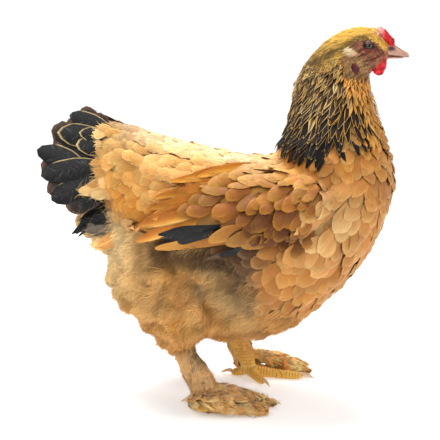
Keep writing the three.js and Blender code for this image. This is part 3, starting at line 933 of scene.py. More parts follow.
def only(batch, mask):
    return {**batch, **{key: batch[key][mask] for key in ("points", "vane", "tint", "roots")}}


rng = np.random.default_rng(12)
downBatches = growDown(rng)
for sideName, sign in sideSigns.items():
    for end, low, high in (("rear", -300, -72), ("middle", -72, 10), ("front", 10, 300)):
        share = [only(batch, (batch["roots"][:, 1] * sign > 0) & (batch["roots"][:, 0] > low)
                      & (batch["roots"][:, 0] <= high)) for batch in downBatches]
        makeCoat(f"down_{end}_{sideName}", share, downFinish, "fluff", ((-150, 0, 180), (120, 0, 170)))


# ---- hackle

hackleCoat = {"gap": 5.1, "length": 42, "width": 9.5, "candidates": 120000, "wander": 3}
hackleVane = {**spearVane, "across": [-1, -0.84, -0.72, 0, 0.72, 0.84, 1]}
hackleTop = ([100, 114, 130, 146, 160], [416, 408, 406, 412, 424])  # how high the laced feathers begin
plainLine = ([300, 326, 343, 366, 385, 396, 400],  # plain ones lie ahead of it
             [168, 173, 176, 164, 151, 149, 190])


def growHackle(rng):
    def size(points):
        # short and narrow behind the head, long over the shoulders
        return 0.2 + 0.8 * smooth(428, 335, points[:, 2])

    def allowed(points, part):
        x, z = points[:, 0], points[:, 2]
        ends = z - 0.93 * hackleCoat["length"] * size(points)
        wander = hackleCoat["wander"]
        onCape = (ends > capeLine(points) - wander + rng.normal(0, wander, len(points))) & (x < 174)
        onThroat = (x >= 156) & (z > 338) & (z < 388) & (x < 182)
        onCheek = (x > 150 + 0.5 * np.maximum(z - 405, 0)) & (z > 394)
        onNeck = np.isin(part, ["neck", "head"]) & (z < np.interp(x, *hackleTop))
        return onNeck & (onCape | onThroat) & ~onCheek

    def ahead(points):
        # how far before the line between the laced and the plain feathers
        return points[:, 0] - np.interp(points[:, 2], *plainLine)

    def gap(points):
        return hackleCoat["gap"] * (0.36 + 0.64 * size(points)) * (1 - 0.42 * smooth(-5, 5, ahead(points)))

    places = rootsOn(hull, hackleCoat["candidates"], gap, allowed, rng)
    x, z = places[:, 0], places[:, 2]
    count = len(places)
    throat = smooth(-5, 5, ahead(places) + rng.normal(0, 4, count))
    scale = size(places) * rng.uniform(0.9, 1.1, count) * (1 - 0.45 * throat)
    paths, normals = walk(hull, places, hackleCoat["length"] * scale, rng.normal(0, 0.09, count), steps=6)
    faded = (smooth(345, 405, z) * 0.85 + rng.uniform(0, 0.15, count))[:, None]
    dark = mixed(plumage["black"], plumage["brown"], faded)
    warm = np.clip(0.25 + 0.6 * smooth(135, 168, x) + 0.25 * rng.normal(size=count), 0, 1)[:, None]
    rim = mixed(plumage["cream"], plumage["gold"], warm)
    rim = rim * (varied(rng, 0.5, 1, places) + 0.12 * smooth(380, 410, z)[:, None])
    plain = throat > rng.uniform(0.12, 0.95, count)
    light = tone(206, 148, 74) * varied(rng, 0.72, 1.15, places) * (1 + 0.45 * smooth(352, 388, z))[:, None]
    rim = np.where(plain[:, None], light, rim * (0.38 + 0.62 * smooth(318, 370, z))[:, None])
    # near the head more of the feathers have broad golden edges
    broad = rng.random(count) < 0.5 * smooth(350, 400, z)
    wide = np.where(broad, 0.6, 0.78 + 0.08 * (z < 348))[:, None, None]
    dark = np.where(plain[:, None], rim * 0.9, dark)
    rim = np.where(plain[:, None], rim * varied(rng, 0.92, 1.1, places), rim)

    def lace(colour, share, across):
        edge = ((np.abs(across) > wide) * smooth(0.3, 0.6, share))[..., None]
        edge = np.maximum(edge, (share > 0.985)[..., None])
        colour = colour * (1 - 0.3 * smooth(0.6, 0.2, share) * (1 - 0.6 * plain[:, None, None]))[..., None]
        return mixed(colour, rim[:, None, None], edge)

    widths = hackleCoat["width"] * (0.18 + 0.82 * scale) * np.where(plain, 0.66, 1)
    return layVanes(paths, normals, widths, hackleVane, dark, rng, lace)


rng = np.random.default_rng(13)
makeCoat("hackle", [growHackle(rng)], hackleFinish, "hackle", ((90, 0, 260), (150, 0, 430)))


# ---- crown, ear tufts and cheek hairs

crownCoat = {"gap": 1.4, "length": 9.5, "candidates": 90000, "hairGap": 0.95, "hairLength": (3, 5),
             "earGap": 0.65, "earLength": (5, 8)}
crownTuft = {"strands": 4, "rows": 3, "spread": 0.2, "curl": 0.1, "gap": 0.5, "depth": 1.2, "lift": 0.35,
             "width": 0.6, "rootShade": 0.15}
hairTuft = {**crownTuft, "rows": 2, "depth": 0.5, "lift": 0.6, "width": 0.5}
earTuft = {**crownTuft, "strands": 5, "lift": 0.8, "width": 0.7, "spread": 0.04, "curl": 0.02, "gap": 0.3,
           "rootShade": 0}
crownLine = ([100, 130, 146, 160, 168, 176, 184, 190, 196],
             [394, 398, 409, 428, 432, 431.5, 428, 424, 423.5])
wattleEdge = ([388, 392, 396, 400, 404, 411], [176, 175.5, 178.5, 184, 188.5, 194])
eye = {"centre": (174.9, 14.2, 423.5), "radius": 6.4, "long": 6, "high": 2.2, "low": 3.1, "tilt": -0.09,
       "crease": 1.6, "finer": (12.5, 9.5)}


def lobeShare(points):
    # 1 over the slanting ear lobe
    x, z = points[:, 0] - 160.3, points[:, 2] - 398
    return np.exp(-1.1 * ((x * 0.6 - z * 0.8) / 8) ** 2 - 1.1 * ((x * 0.8 + z * 0.6) / 4) ** 2)


def nearEye(points, radius):
    return np.linalg.norm(folded(points) - eye["centre"], axis=1) < radius


def eyeFrame(sign):
    # outward, forward and upward ways of one eye
    outward = unit(np.array([0.12, sign, 0.1]))
    forward = np.array([1, 0, eye["tilt"]])
    forward = unit(forward - outward * (forward @ outward))
    return np.array(eye["centre"]) * [1, sign, 1], outward, forward, np.cross(outward, forward) * -sign


def socketRise(s, t):
    # how far the skin swells round the eye, and over it for the brow
    swelling = 3.4 * np.exp(-(s ** 2 + t ** 2) / 67)
    return swelling + 1.3 * np.exp(-(((t - 5.6) / 2.2) ** 2 + ((s - 0.5) / 8) ** 2))


def overSocket(paths, normals):
    # lifts feathers onto the swollen skin round the eyes
    places = paths.reshape(-1, 3)
    lift = np.zeros(len(places))
    for sign in sideSigns.values():
        centre, outward, forward, upward = eyeFrame(sign)
        gap = places - centre
        s, t, w = gap @ forward, gap @ upward, gap @ outward
        lateral = np.hypot(s, t)
        rise = socketRise(s, t) * (1 - smooth(8.5, 14, lateral)) * (w > -9)
        overLid = (np.sqrt(np.maximum(7.3 ** 2 - lateral ** 2, 0)) - w) * (lateral < 7) * (w > 0) * (t > 0)
        lift = np.maximum(lift, np.maximum(rise, overLid))
    x, z = places[:, 0], places[:, 2]
    lift += 0.7 * smooth(148, 160, x) * smooth(433, 427, z) * smooth(384, 392, z)
    # the crown rises to meet the comb
    toComb = np.exp(-((x - 183.5) / 7) ** 2) * smooth(14, 5, np.abs(places[:, 1])) * smooth(428, 435, z)
    lift += 3.4 * toComb
    return paths + normals * lift.reshape(*paths.shape[:2], 1)


def crownEdge(x, y):
    # how low the crown's feathers reach
    return np.interp(x, *crownLine) - 5 * smooth(15, 8, y)


def overCrown(points):
    # the edge dips a little at the brow
    x, y, z = folded(points).T
    return z > crownEdge(x, y) - 4.5 * np.exp(-((x - 175) / 7) ** 2)


def earShare(points):
    # above 0 on the slanting tuft over the ear
    x, z = points[:, 0] - 159, points[:, 2] - 417.8
    return 1 - ((0.9 * x - 0.44 * z) / 9) ** 2 - ((0.44 * x + 0.9 * z) / (3.8 - 0.3 * x)) ** 2


def headRoots(gap, allowed, rng):
    def onHead(points):
        return (points[:, 0] > 90) & (points[:, 2] > 374)

    return rootsOn(hull, crownCoat["candidates"], gap, allowed, rng, onHead)


def layTufts(paths, normals, look, tint, rng):
    return layDown(overSocket(paths, normals), normals, look, tint, rng)


def growCrown(rng):
    def allowed(points, part):
        x, y, z = folded(points).T
        underComb = (x > 186) & (y < 9.5) & (z > np.interp(x, [186, 190, 195, 200], [433, 430, 427, 423]))
        thin = rng.random(len(points)) < smooth(94, 110, x)
        eyeGap = ~nearEye(points, 6.8) | ((z > eye["centre"][2] + 2.4) & ~nearEye(points, 5.6))
        return np.isin(part, ["head", "neck"]) & overCrown(points) & ~underComb & (x < 197) & eyeGap & thin

    places = headRoots(crownCoat["gap"], allowed, rng)
    x, y, z = folded(places).T
    lengths = crownCoat["length"] * rng.uniform(0.8, 1.2, len(places)) * (1 - 0.4 * smooth(160, 192, x))
    lengths = lengths * np.where(nearEye(places, 8.5), 0.6, 1) * (1 + 0.5 * smooth(150, 120, x))
    paths, normals = walk(hull, places, lengths, rng.normal(0, 0.15, len(places)), steps=3)
    gold = tone(255, 206, 98) * varied(rng, 0.72, 1.25, places)
    gold = gold * (1 - np.array([0.4, 0.42, 0.3]) * (smooth(152, 120, x) * smooth(428, 402, z))[:, None])
    # a dark line runs back from over the eye, the nape is streaked, and the feathers round the eye are
    # painted dark as shade under the brow
    browLine = np.interp(x, [120, 150, 160, 168, 176, 186], [410, 424, 430, 433.5, 433, 429])
    brow = np.exp(-((z - browLine) / 3.6) ** 2) * smooth(184, 174, x)
    streaked = swell(places * [1, 1, 0.35], 3.4, 63) > 0.25 - 0.5 * smooth(150, 115, x)
    dark = 0.9 * brow * smooth(8, 13, y) + 0.6 * smooth(162, 130, x) * streaked + 0.8 * nearEye(places, 8)
    tint = mixed(gold, plumage["brown"], np.clip(dark, 0, 0.85)[:, None])
    return layTufts(paths, normals, crownTuft, tint, rng)


def growCheek(rng):
    def allowed(points, part):
        x, y, z = folded(points).T
        low = np.interp(x, [148, 168, 178], [393, 383, 380]) + rng.uniform(0, 5, len(points))
        cheek = ~overCrown(points) & (x > 148) & (x < 193) & (z > low) & (z < 432) & ~nearEye(points, 8.2)
        onWattle = (z < 410) & (x > np.interp(z, *wattleEdge) - 0.5)
        onLobe = lobeShare(points) >= 0.25 + 0.35 * rng.random(len(points))
        return cheek & ~onWattle & (earShare(points) < 0.1) & ~onLobe

    hairs = headRoots(crownCoat["hairGap"], allowed, rng)
    x, z = hairs[:, 0], hairs[:, 2]
    # thick on the cheek, thin over the lore and round the eye
    thick = smooth(190, 172, x + 0.6 * np.maximum(z - 405, 0)) * smooth(380, 388, z)
    hairs = hairs[rng.random(len(hairs)) < 0.35 + 0.65 * thick]
    x, z = hairs[:, 0], hairs[:, 2]
    lengths = rng.uniform(*crownCoat["hairLength"], len(hairs)) * (1 + smooth(170, 150, x))
    paths, normals = walk(hull, hairs, lengths, rng.normal(0, 0.3, len(hairs)), steps=2)
    # the hairs lie in streaks, redder towards the eye and the bill
    along = np.stack([x * 0.45 - z * 0.9, 0.12 * (x * 0.9 + z * 0.45), 0 * x], 1)
    warm = np.clip(0.5 + 0.55 * swell(along, 3.6, 61) + rng.normal(0, 0.15, len(hairs)), 0, 1)[:, None]
    red = (smooth(160, 186, x + 0.7 * (z - 405)) * 0.75)[:, None]
    light = near(hairs, (164, 18, 403), 12)[:, None] * 0.6
    tint = mixed(tone(112, 68, 42), tone(214, 164, 106), warm)
    tint = mixed(tint, tone(232, 192, 132) * (0.6 + 0.4 * warm), light)
    tint = mixed(tint, mixed(tone(96, 42, 38), tone(196, 128, 104), warm), red)
    loreLine = np.interp(x, [176, 194], [421, 417])
    lore = (np.exp(-((z - loreLine) / 2.6) ** 2) * smooth(178, 184, x))[:, None] * 0.75
    tint = mixed(tint, tone(84, 36, 34), lore) * varied(rng, 0.7, 1.1, hairs)
    return layTufts(paths, normals, hairTuft, tint, rng)


def growEarTuft(rng):
    places = headRoots(crownCoat["earGap"], lambda p, part: earShare(p) > rng.uniform(0, 0.5, len(p)), rng)
    lengths = rng.uniform(*crownCoat["earLength"], len(places))
    paths, normals = walk(hull, places, lengths, rng.normal(0, 0.05, len(places)), steps=2)
    fade = smooth(156, 166, places[:, 0])[:, None] * 0.85
    streaks = (1 + 0.22 * swell(places * [0.3, 1, 1], 2.6, 65))[:, None]
    tint = mixed(tone(252, 230, 188), tone(196, 140, 96), fade) * streaks * varied(rng, 0.88, 1.04, places)
    return layTufts(paths, normals, earTuft, tint, rng)


rng = np.random.default_rng(14)
crownBatch, cheekBatch, earBatch = growCrown(rng), growCheek(rng), growEarTuft(rng)
makeCoat("crown_feathers", [crownBatch, earBatch], downFinish, "crown_plumage",
         ((195, 0, 415), (110, 0, 405)))
makeCoat("cheek_hairs", [cheekBatch], downFinish, "crown_plumage", ((200, 0, 405), (140, 0, 405)))


# ---- wings

wingCoat = {"gap": 10.2, "length": 32, "width": 17, "candidates": 26000}
covertVane = {**softVane, "tip": 0.5, "ragged": 0.04, "cup": 0.42, "hair": 5, "hairs": 56, "lift": 3.2,
              "raise": 0.3, "roll": 0.14}
# the tip, the root and the width of each long feather on the right, from the top one down
secondaries = [
    ((-2, 279), (48, 288), 11), ((-15, 276), (44, 288), 11), ((-29, 272), (40, 287), 12),
    ((-41, 266), (36, 285), 12), ((-51, 258), (33, 281), 13), ((-60, 249), (31, 275), 13),
    ((-69, 240), (30, 268), 14), ((-77, 232), (29, 261), 15), ((-84, 223), (29, 253), 16),
    ((-88, 214), (29, 245), 17),
]
# how far back the tips of the coverts reach for each height, and how low they hang
covertEdge = ([200, 212, 225, 240, 255, 270, 284, 296], [10, -8, -30, -26, -8, 0, 8, 22])
covertFoot = ([-40, 5, 18, 40, 80], [238, 233, 219, 206, 188])
primaries = [((-66, 210), (20, 227), 14), ((-61, 204), (22, 221), 14)]
bands = [((-61, 199), (62, 210), 13), ((40, 203), (86, 214), 18), ((22, 207), (70, 219), 18),
         ((4, 212), (54, 225), 18)]
# dark feathers under the lower band: partly dark feathers that show there, partly dark vanes standing in for
# the shade under the wing
hidden = [((10, 190), (68, 202), 10), ((-6, 186), (62, 198), 9)]


def sidePaths(feathers, sign, lifts, sag, steps=8):
    paths = []
    for (tip, root, width), lift in zip(feathers, lifts):
        share = np.linspace(0, 1, steps)
        x = root[0] + (tip[0] - root[0]) * share
        z = root[1] + (tip[1] - root[1]) * share + sag * np.sin(share * math.pi)
        place = hull.fromSide(x, z, sign)
        # a stiff quill bridges the hollows under it
        line = mixed(place[0], place[-1], share[:, None])
        place[:, 1] = sign * (np.maximum(place[:, 1] * sign, line[:, 1] * sign) + lift)
        paths.append(place)
    return np.array(paths)


def stiffFeathers(feathers, sign, lifts, tilt, tint, rng, paint=None, sag=2.0, **changes):
    paths = sidePaths(feathers, sign, lifts, sag)
    upward = np.broadcast_to(unit(np.array([0, sign, tilt])), paths.shape)
    widths = np.array([width for tip, root, width in feathers], float)
    return layVanes(paths, upward, widths, {**stiffVane, **changes}, tint, rng, paint)


def paintWing(colour, share, across):
    # like the body's feathers, with a painted shade at the covered foot, and golden rims
    foot = smooth(0.95, 0.45, share)[..., None]
    rim = (smooth(0.75, 1, share) * 0.2 + smooth(0.75, 1, np.abs(across)) * 0.06)[..., None]
    return mixed(colour * (1 - foot * [0.22, 0.38, 0.5]), plumage["gold"], rim)


def lowered(feathers, sign):
    # the far wing's top feathers lie a little lower, under the back
    drops = [8 * float(smooth(258, 274, tip[1])) * (sign > 0) for tip, root, width in feathers]
    return [((tip[0], tip[1] - drop), (root[0], root[1] - drop), width)
            for (tip, root, width), drop in zip(feathers, drops)]


def growWing(sign, rng):
    def allowed(points, part):
        x, z = points[:, 0], points[:, 2]
        tipX, y, tipZ = (points + flowAt(points) * wingCoat["length"] * 0.9).T
        inside = (tipX > np.interp(tipZ, *covertEdge)) & (tipZ > np.interp(tipX, *covertFoot))
        shoulder = (part == "trunk") & (np.abs(points[:, 1]) > 26) & (x > 16) & (x < 112) & (z > 262)
        return ((part == "wing") | shoulder) & (points[:, 1] * sign > 0) & inside & (x < 128)

    places = rootsOn(hull, wingCoat["candidates"],
                     lambda p: wingCoat["gap"] * (1 - 0.2 * smooth(80, 130, p[:, 0])), allowed, rng)
    x = places[:, 0]
    scale = rng.uniform(0.72, 1.22, len(places)) * (1 + 0.15 * smooth(50, 10, x) - 0.2 * smooth(80, 130, x))
    paths, normals = walk(hull, places, wingCoat["length"] * scale, rng.normal(0, 0.15, len(places)))
    middles = paths[:, 3]
    # the lower coverts turn rust, partly their own colour and partly painted shade, and the mask below paints
    # them darker still where the wing's lower edge lies in shade
    low = (0.85 * smooth(284, 246, middles[:, 2]))[:, None]
    tint = mixed(coatColour(middles), tone(176, 108, 34), low) * varied(rng, 0.88, 1.1, places)
    paintedShade = (smooth(256, 226, middles[:, 2]) * smooth(118, 92, middles[:, 0]))[:, None]
    tint = tint * 0.68 * (1 - paintedShade * [0.6, 0.68, 0.8]) * (1 + 0.16 * swell(middles, 26, 62))[:, None]
    coverts = layVanes(paths, normals, wingCoat["width"] * scale, covertVane, tint, rng, paintWing)

    def brightEdge(colour, share, across):
        # a painted highlight along the free lower edge, over a thin painted shadow line, and painted shade
        # where the next one covers it
        upper = across * sign
        glow = (smooth(-0.35, -0.6, upper) * 0.5)[..., None]
        paintedShade = smooth(-0.3, 0.2, upper)[..., None]
        line = (smooth(-0.76, -0.9, upper) * 0.72)[..., None]
        colour = mixed(colour * (1 - paintedShade * [0.36, 0.52, 0.66]), tone(252, 208, 122), glow)
        return mixed(colour, plumage["umber"], line)

    count = len(secondaries)
    bright = mixed(plumage["gold"], plumage["rust"], 0.6 * np.linspace(0, 1, count)[:, None])
    bright = bright * varied(rng, 1.2, 1.45, secondaries)
    stack = stiffFeathers(lowered(secondaries, sign), sign, np.linspace(6.5, 2.5, count), 0.1, bright, rng,
                          brightEdge, sag=1.5, depth=15, tip=0.4, taper=0.3, ragged=0.03, cup=0.06,
                          across=[-1, -0.9, -0.76, -0.6, -0.35, 0, 0.4, 0.75, 1])
    black = np.array([plumage["black"]] * 2)
    hand = stiffFeathers(primaries, sign, [2.2, 1.2], -0.1, black, rng, tip=0.5, taper=0.4, roll=0, depth=6)
    rust = np.array([plumage["buff"]] * 4) * [[0.72], [0.5], [0.54], [0.6]]
    band = stiffFeathers(bands[:1], sign, [7], -0.25, rust[:1], rng, paintWing, tip=0.4, depth=16)
    over = stiffFeathers(bands[1:], sign, [4.6, 5.2, 5.8], -0.25, rust[1:], rng, paintWing, tip=0.5,
                         depth=13, cup=0.3, droop=2)
    brown = np.array([plumage["black"], plumage["brown"]])
    under = stiffFeathers(hidden, sign, [2.5, 2], -0.3, brown, rng, ragged=0.15, tip=0.6, depth=10)
    return coverts, [stack, band, over], [hand, under]


for sideName, sign in sideSigns.items():
    rng = np.random.default_rng(15)
    coverts, stack, hand = growWing(sign, rng)
    axis = ((130, 0, 250), (-100, 0, 230))
    makeCoat(f"wing_coverts_{sideName}", [coverts], contourFinish, "buff_plumage", axis)
    makeCoat(f"secondaries_{sideName}", stack, contourFinish, "buff_plumage", axis)
    makeCoat(f"primaries_{sideName}", hand, darkFinish, "dark_plumage", axis, [f"primaries_{sideName}"])


# ---- tail

# rise in degrees, length and width of each quill
tailQuills = [(51, 78, 29), (42, 92, 31), (32, 96, 31), (21, 106, 33), (10, 100, 32), (0, 106, 34),
              (-10, 98, 32), (-21, 95, 32), (-33, 84, 30)]
# laced feathers over them: tip, root, width, and which edge is pale
laced = [((-178, 333), (-116, 318), 20, "upper"), ((-190, 315), (-105, 300), 28, "all"),
         ((-166, 300), (-98, 296), 24, "all"), ((-201, 258), (-114, 284), 28, "upper"),
         ((-191, 238), (-118, 266), 29, "upper"), ((-163, 321), (-108, 303), 18, "all"),
         ((-212, 304), (-138, 262), 27, "upper")]
tailBuff = [((-145, 328), (-108, 311), 16), ((-135, 323), (-98, 307), 18), ((-149, 321), (-112, 311), 18),
            ((-138, 315), (-100, 306), 18), ((-147, 309), (-108, 303), 18), ((-136, 302), (-98, 300), 20),
            ((-146, 297), (-106, 298), 20), ((-136, 288), (-98, 292), 20), ((-150, 284), (-112, 290), 16),
            ((-133, 275), (-95, 282), 20), ((-147, 272), (-108, 280), 18), ((-126, 262), (-88, 272), 20),
            ((-140, 261), (-102, 271), 20), ((-128, 248), (-92, 260), 20), ((-152, 258), (-114, 268), 15),
            ((-160, 250), (-124, 262), 14), ((-148, 246), (-112, 258), 16), ((-126, 315), (-90, 302), 20)]
# plumes under the tail: tip, root, width, colour, and how deep they lie
plumes = [((-173, 196), (-130, 250), 20, "black", 18), ((-158, 204), (-112, 232), 18, "grey", 8),
          ((-166, 214), (-122, 250), 18, "black", 12), ((-146, 212), (-104, 240), 20, "black", 6),
          ((-153, 187), (-104, 212), 20, "cream", 12), ((-140, 190), (-96, 216), 20, "tan", 8),
          ((-132, 216), (-92, 244), 20, "brown", 4), ((-160, 232), (-116, 256), 20, "black", 6),
          ((-126, 200), (-86, 226), 20, "cream", 4), ((-148, 200), (-106, 224), 12, "grey", 10)]
tail = {"root": np.array([-104, 279]), "top": 352, "lean": 0.36}
quillVane = {**stiffVane, "across": [-1, -0.97, -0.9, -0.7, -0.4, 0, 0.4, 0.7, 0.9, 0.97, 1], "tip": 0.24,
             "foot": 0.3, "depth": 0, "cup": 0.22, "ragged": 0.03, "hairs": 70}
lacedVane = {**quillVane, "tip": 0.34, "rows": 22, "hairs": 0,
             "across": [-1, -0.95, -0.88, -0.5, 0, 0.5, 0.88, 0.95, 1]}
tailBuffVane = {**softVane, "depth": 4, "rows": 12, "cup": 0.4, "hair": 10, "raise": 0.8}
plumeVane = {**softVane, "depth": 1, "tip": 0.7, "ragged": 0.2, "rows": 12, "cup": 0.2, "droop": 1,
             "hairs": 90, "hair": 13, "uneven": 0.35}


def tailPaths(feathers, sign, lifts, bow, steps=8):
    # the two halves of the tail lean together like a tent
    paths = []
    for (tip, root, *_), lift in zip(feathers, lifts):
        share = np.linspace(0, 1, steps)
        way = np.array(tip, float) - root
        line = root + way * share[:, None]
        line = line + np.array([-way[1], way[0]]) * bow * np.sin(share * math.pi)[:, None]
        y = 3.6 + tail["lean"] * np.maximum(tail["top"] - line[:, 1], 0) + lift
        paths.append(np.stack([line[:, 0], sign * y, line[:, 1]], 1))
    return np.array(paths)


def growTail(sign, rng):
    leaning = unit(np.array([0, sign, tail["lean"]]))

    def lay(feathers, lifts, bow, look, tint, paint):
        paths = tailPaths(feathers, sign, lifts, bow)
        widths = np.array([feather[2] for feather in feathers], float)
        return layVanes(paths, np.broadcast_to(leaning, paths.shape), widths, look, tint, rng, paint)

    quills = []
    for rise, length, width in tailQuills:
        way = np.array([-np.cos(np.radians(rise)), np.sin(np.radians(rise))]) * length
        quills.append((tail["root"] + way, tail["root"] + way * 0.12, width))
    black = plumage["black"] * varied(rng, 0.7, 1.6, quills)

    def bloom(colour, share, across):
        # a brownish bloom towards the tip
        rim = np.maximum(smooth(0.88, 0.97, np.abs(across)), smooth(0.92, 0.99, share))
        worn = (smooth(0.7, 1, share) * 0.18 + rim * smooth(0.3, 0.6, share) * 0.8)[..., None]
        return mixed(colour, plumage["brown"] * 1.15, worn)

    fan = lay(quills, np.linspace(0, 7, len(quills)), 0.05, quillVane, black, bloom)

    def lacing(colour, share, across):
        upper = across * sign
        edge = (upper > 0.9) & (share > 0.3)
        whole = edge | (share > 0.975) | (upper < -0.93)
        around = np.array([feather[3] == "all" for feather in laced])[:, None, None]
        return np.where(np.where(around, whole, edge)[..., None], plumage["cream"] * 0.7, colour * 0.8)

    over = lay(laced, [8, 9.5, 10.5, 10, 9, 11, 7.6], -0.06, lacedVane,
               np.array([plumage["black"]] * len(laced)), lacing)
    gold = mixed(plumage["pale"], plumage["buff"], rng.random((len(tailBuff), 1)))
    gold = gold * varied(rng, 0.85, 1.05, tailBuff)
    buff = lay(tailBuff, rng.uniform(10.5, 12.5, len(tailBuff)), 0, tailBuffVane, gold, paintSoft)

    def streaky(colour, share, across):
        return mixed(colour, plumage["cream"], (np.abs(across) > 0.75)[..., None] * 0.35)

    colours = np.array([plumage[feather[3]] for feather in plumes])
    depths = np.array([feather[4] for feather in plumes], float)
    below = lay(plumes, -depths, 0.08, plumeVane, colours, streaky)
    return [fan, over], [buff], [below]


for sideName, sign in sideSigns.items():
    rng = np.random.default_rng(16)
    fan, buff, below = growTail(sign, rng)
    axis = ((-100, 0, 290), (-220, 0, 300))
    makeCoat(f"tail_quills_{sideName}", fan, darkFinish, "dark_plumage", axis, [f"tail_{sideName}"])
    makeCoat(f"tail_coverts_{sideName}", buff, contourFinish, "buff_plumage", axis)
    makeCoat(f"tail_plumes_{sideName}", below, darkFinish, "dark_plumage", ((-90, 0, 240), (-170, 0, 200)))


# ---- legs and feet

stance = 54
ankles = {"left": 30.4, "right": -1.6}
hocksBehind = {"left": 30, "right": 42}
toes = {
    "middle": {"turn": -3, "reach": 84, "size": 1},
    "outer": {"turn": 28, "reach": 70, "size": 0.92},
    "inner": {"turn": -54, "reach": 54, "size": 0.9},
    "hind": {"turn": 174, "reach": 36, "size": 0.85},
}
clawLength = 14


def cappedFaces(ringCount, sides):
    # quads between closed rings of points, and triangles to one more point past each end
    grid = np.arange(ringCount * sides).reshape(ringCount, sides)
    beside = np.roll(grid, -1, axis=1)
    quads = np.stack([grid[:-1], beside[:-1], beside[1:], grid[1:]], -1).reshape(-1, 4)
    first, last = (np.full(sides, ringCount * sides + k) for k in (0, 1))
    return quads, np.concatenate([np.stack([beside[0], grid[0], first], -1),
                                  np.stack([grid[-1], beside[-1], last], -1)])


def sweep(spine, widths, heights, ringCount=24, sides=18, blunt=(8, 8)):
    # a closed tube of oval section along a smooth line near the spine's points
    spine = np.array(spine, float)
    gaps = np.linalg.norm(np.diff(spine, axis=0), axis=1)
    at = np.concatenate([[0], np.cumsum(gaps)]) / gaps.sum()
    share = np.linspace(0, 1, ringCount)
    order = min(3, len(spine) - 1)
    centre = np.stack([np.polyval(np.polyfit(at, spine[:, k], order), share) for k in range(3)], 1)
    wide, high = np.interp(share, at, widths), np.interp(share, at, heights)
    ahead = unit(np.gradient(centre, axis=0))
    level = unit(np.cross([0, 0, 1], ahead))
    up = np.cross(ahead, level)
    power = np.where(share < 0.5, blunt[0], blunt[1])
    cap = np.sqrt(np.clip(1 - np.abs(2 * share - 1) ** power, 0.002, 1))
    angle = np.linspace(0, 2 * math.pi, sides, endpoint=False)
    ring = (centre[:, None] + level[:, None] * (np.cos(angle)[None] * (wide * cap)[:, None])[..., None]
            + up[:, None] * (np.sin(angle)[None] * (high * cap)[:, None])[..., None])
    ends = [centre[0] - ahead[0] * 0.1, centre[-1] + ahead[-1] * 0.1]
    quads, caps = cappedFaces(ringCount, sides)
    return np.concatenate([ring.reshape(-1, 3), ends]), quads.tolist() + caps.tolist()


def toePoint(sideName, toe, share, height):
    angle = math.radians(toe["turn"])
    return (ankles[sideName] + math.cos(angle) * toe["reach"] * share,
            sideSigns[sideName] * (stance + math.sin(angle) * toe["reach"] * share), height)


def shankAxis(sideName, z, top=1):
    # the middle of the shank at a height, from the ankle to the hock
    return ankles[sideName] - hocksBehind[sideName] * np.clip((z - 8) / 84, 0, top)


def legShells(sideName):
    sign, x = sideSigns[sideName], ankles[sideName]
    hock = x - hocksBehind[sideName]
    y = sign * stance
    shank = [(x + 2, y, 6), (x - 4, y, 24), ((x + hock) / 2, y, 52), (hock, y, 90),
             (hock + 4, y * 0.97, 112)]
    shells = [sweep(shank, [9.5, 8.4, 8, 8.5, 9], [11, 10.4, 10, 10, 9], 30)]
    for toe in toes.values():
        fleshy = 1 - clawLength / toe["reach"]
        z, r = 4.8 * toe["size"], 5.9 * toe["size"]
        spine = [toePoint(sideName, toe, share, height)
                 for share, height in zip([0, 0.18, 0.38, 0.6, fleshy], [9, z + 3.5, z + 0.3, z + 0.6, z])]
        shells.append(sweep(spine, [r * 1.4, r * 1.25, r * 1.02, r, r * 0.8],
                            [r * 1.4, r * 1.25, r, r * 0.97, r * 0.8], 26))
    for points, faces in shells:
        points[:, 2] = np.maximum(points[:, 2], 0)
    return shells


def hornFinish(name, dark, light, gloss):
    # horn in fine layers, with a darker streak along its ridge
    made = Finish(name)
    place = made.place()
    x, y, z = made.parts(place)
    layers = made.noise(made.join(x * 260, y * 900, z * 900), 1, 4, 0.6)
    cloud = made.noise(place, 160, 3, 0.5)
    colour = made.ramp(layers * 0.6 + cloud * 0.4, [(0.32, dark), (0.62, light)])
    ridge = made.between(made.field("ridge"), 0.15, 0.9)
    colour = made.blend(ridge * 0.75, colour, tone(92, 66, 50))
    colour = made.blend(made.field("cere"), colour, tone(190, 118, 100))
    colour = made.blend(made.field("dim"), colour, tone(70, 44, 40))
    normal = made.bump(layers, 0.25, 0.0004)
    return made.surface(colour, made.between(cloud, 0.3, 0.7) * 0.15 + gloss, normal, Coat_Weight=0.15)


billFinish = hornFinish("bill_horn", tone(136, 96, 80), tone(204, 158, 134), 0.32)
clawFinish = hornFinish("claw_horn", tone(184, 150, 112), tone(232, 206, 170), 0.3)


def makeClaw(sideName, toeName):
    toe, rings, sides = toes[toeName], 22, 14
    fleshy = 1 - clawLength / toe["reach"]
    spine = [toePoint(sideName, toe, share, height) for share, height in
             zip([fleshy - 0.03, fleshy + 0.06, 1 - 5 / toe["reach"], 1], [5.2, 6.0, 4.6, 1.9])]
    points = sweep(spine, [2.3, 2.1, 1.4, 0.4], [2.7, 2.5, 1.7, 0.5], rings, sides, (8, 30))[0]
    around = np.tile(np.arange(sides), rings) / sides * 2 * math.pi
    ridge = smooth(0.3, 1, np.sin(around)) * 0.25
    dim = smooth(0.2, 0, np.linspace(0, 1, rings).repeat(sides)) * 0.2
    claw = makeObject(f"claw_{toeName}_{sideName}_horn", points, *cappedFaces(rings, sides),
                      {"ridge": np.append(ridge, [0, 0]), "cere": np.zeros(len(points)),
                       "dim": np.append(dim, [0, 0])})
    fit(claw, clawFinish, "horn", f"claw_{toeName}_{sideName}")


for sideName in sideSigns:
    for toeName in toes:
        makeClaw(sideName, toeName)


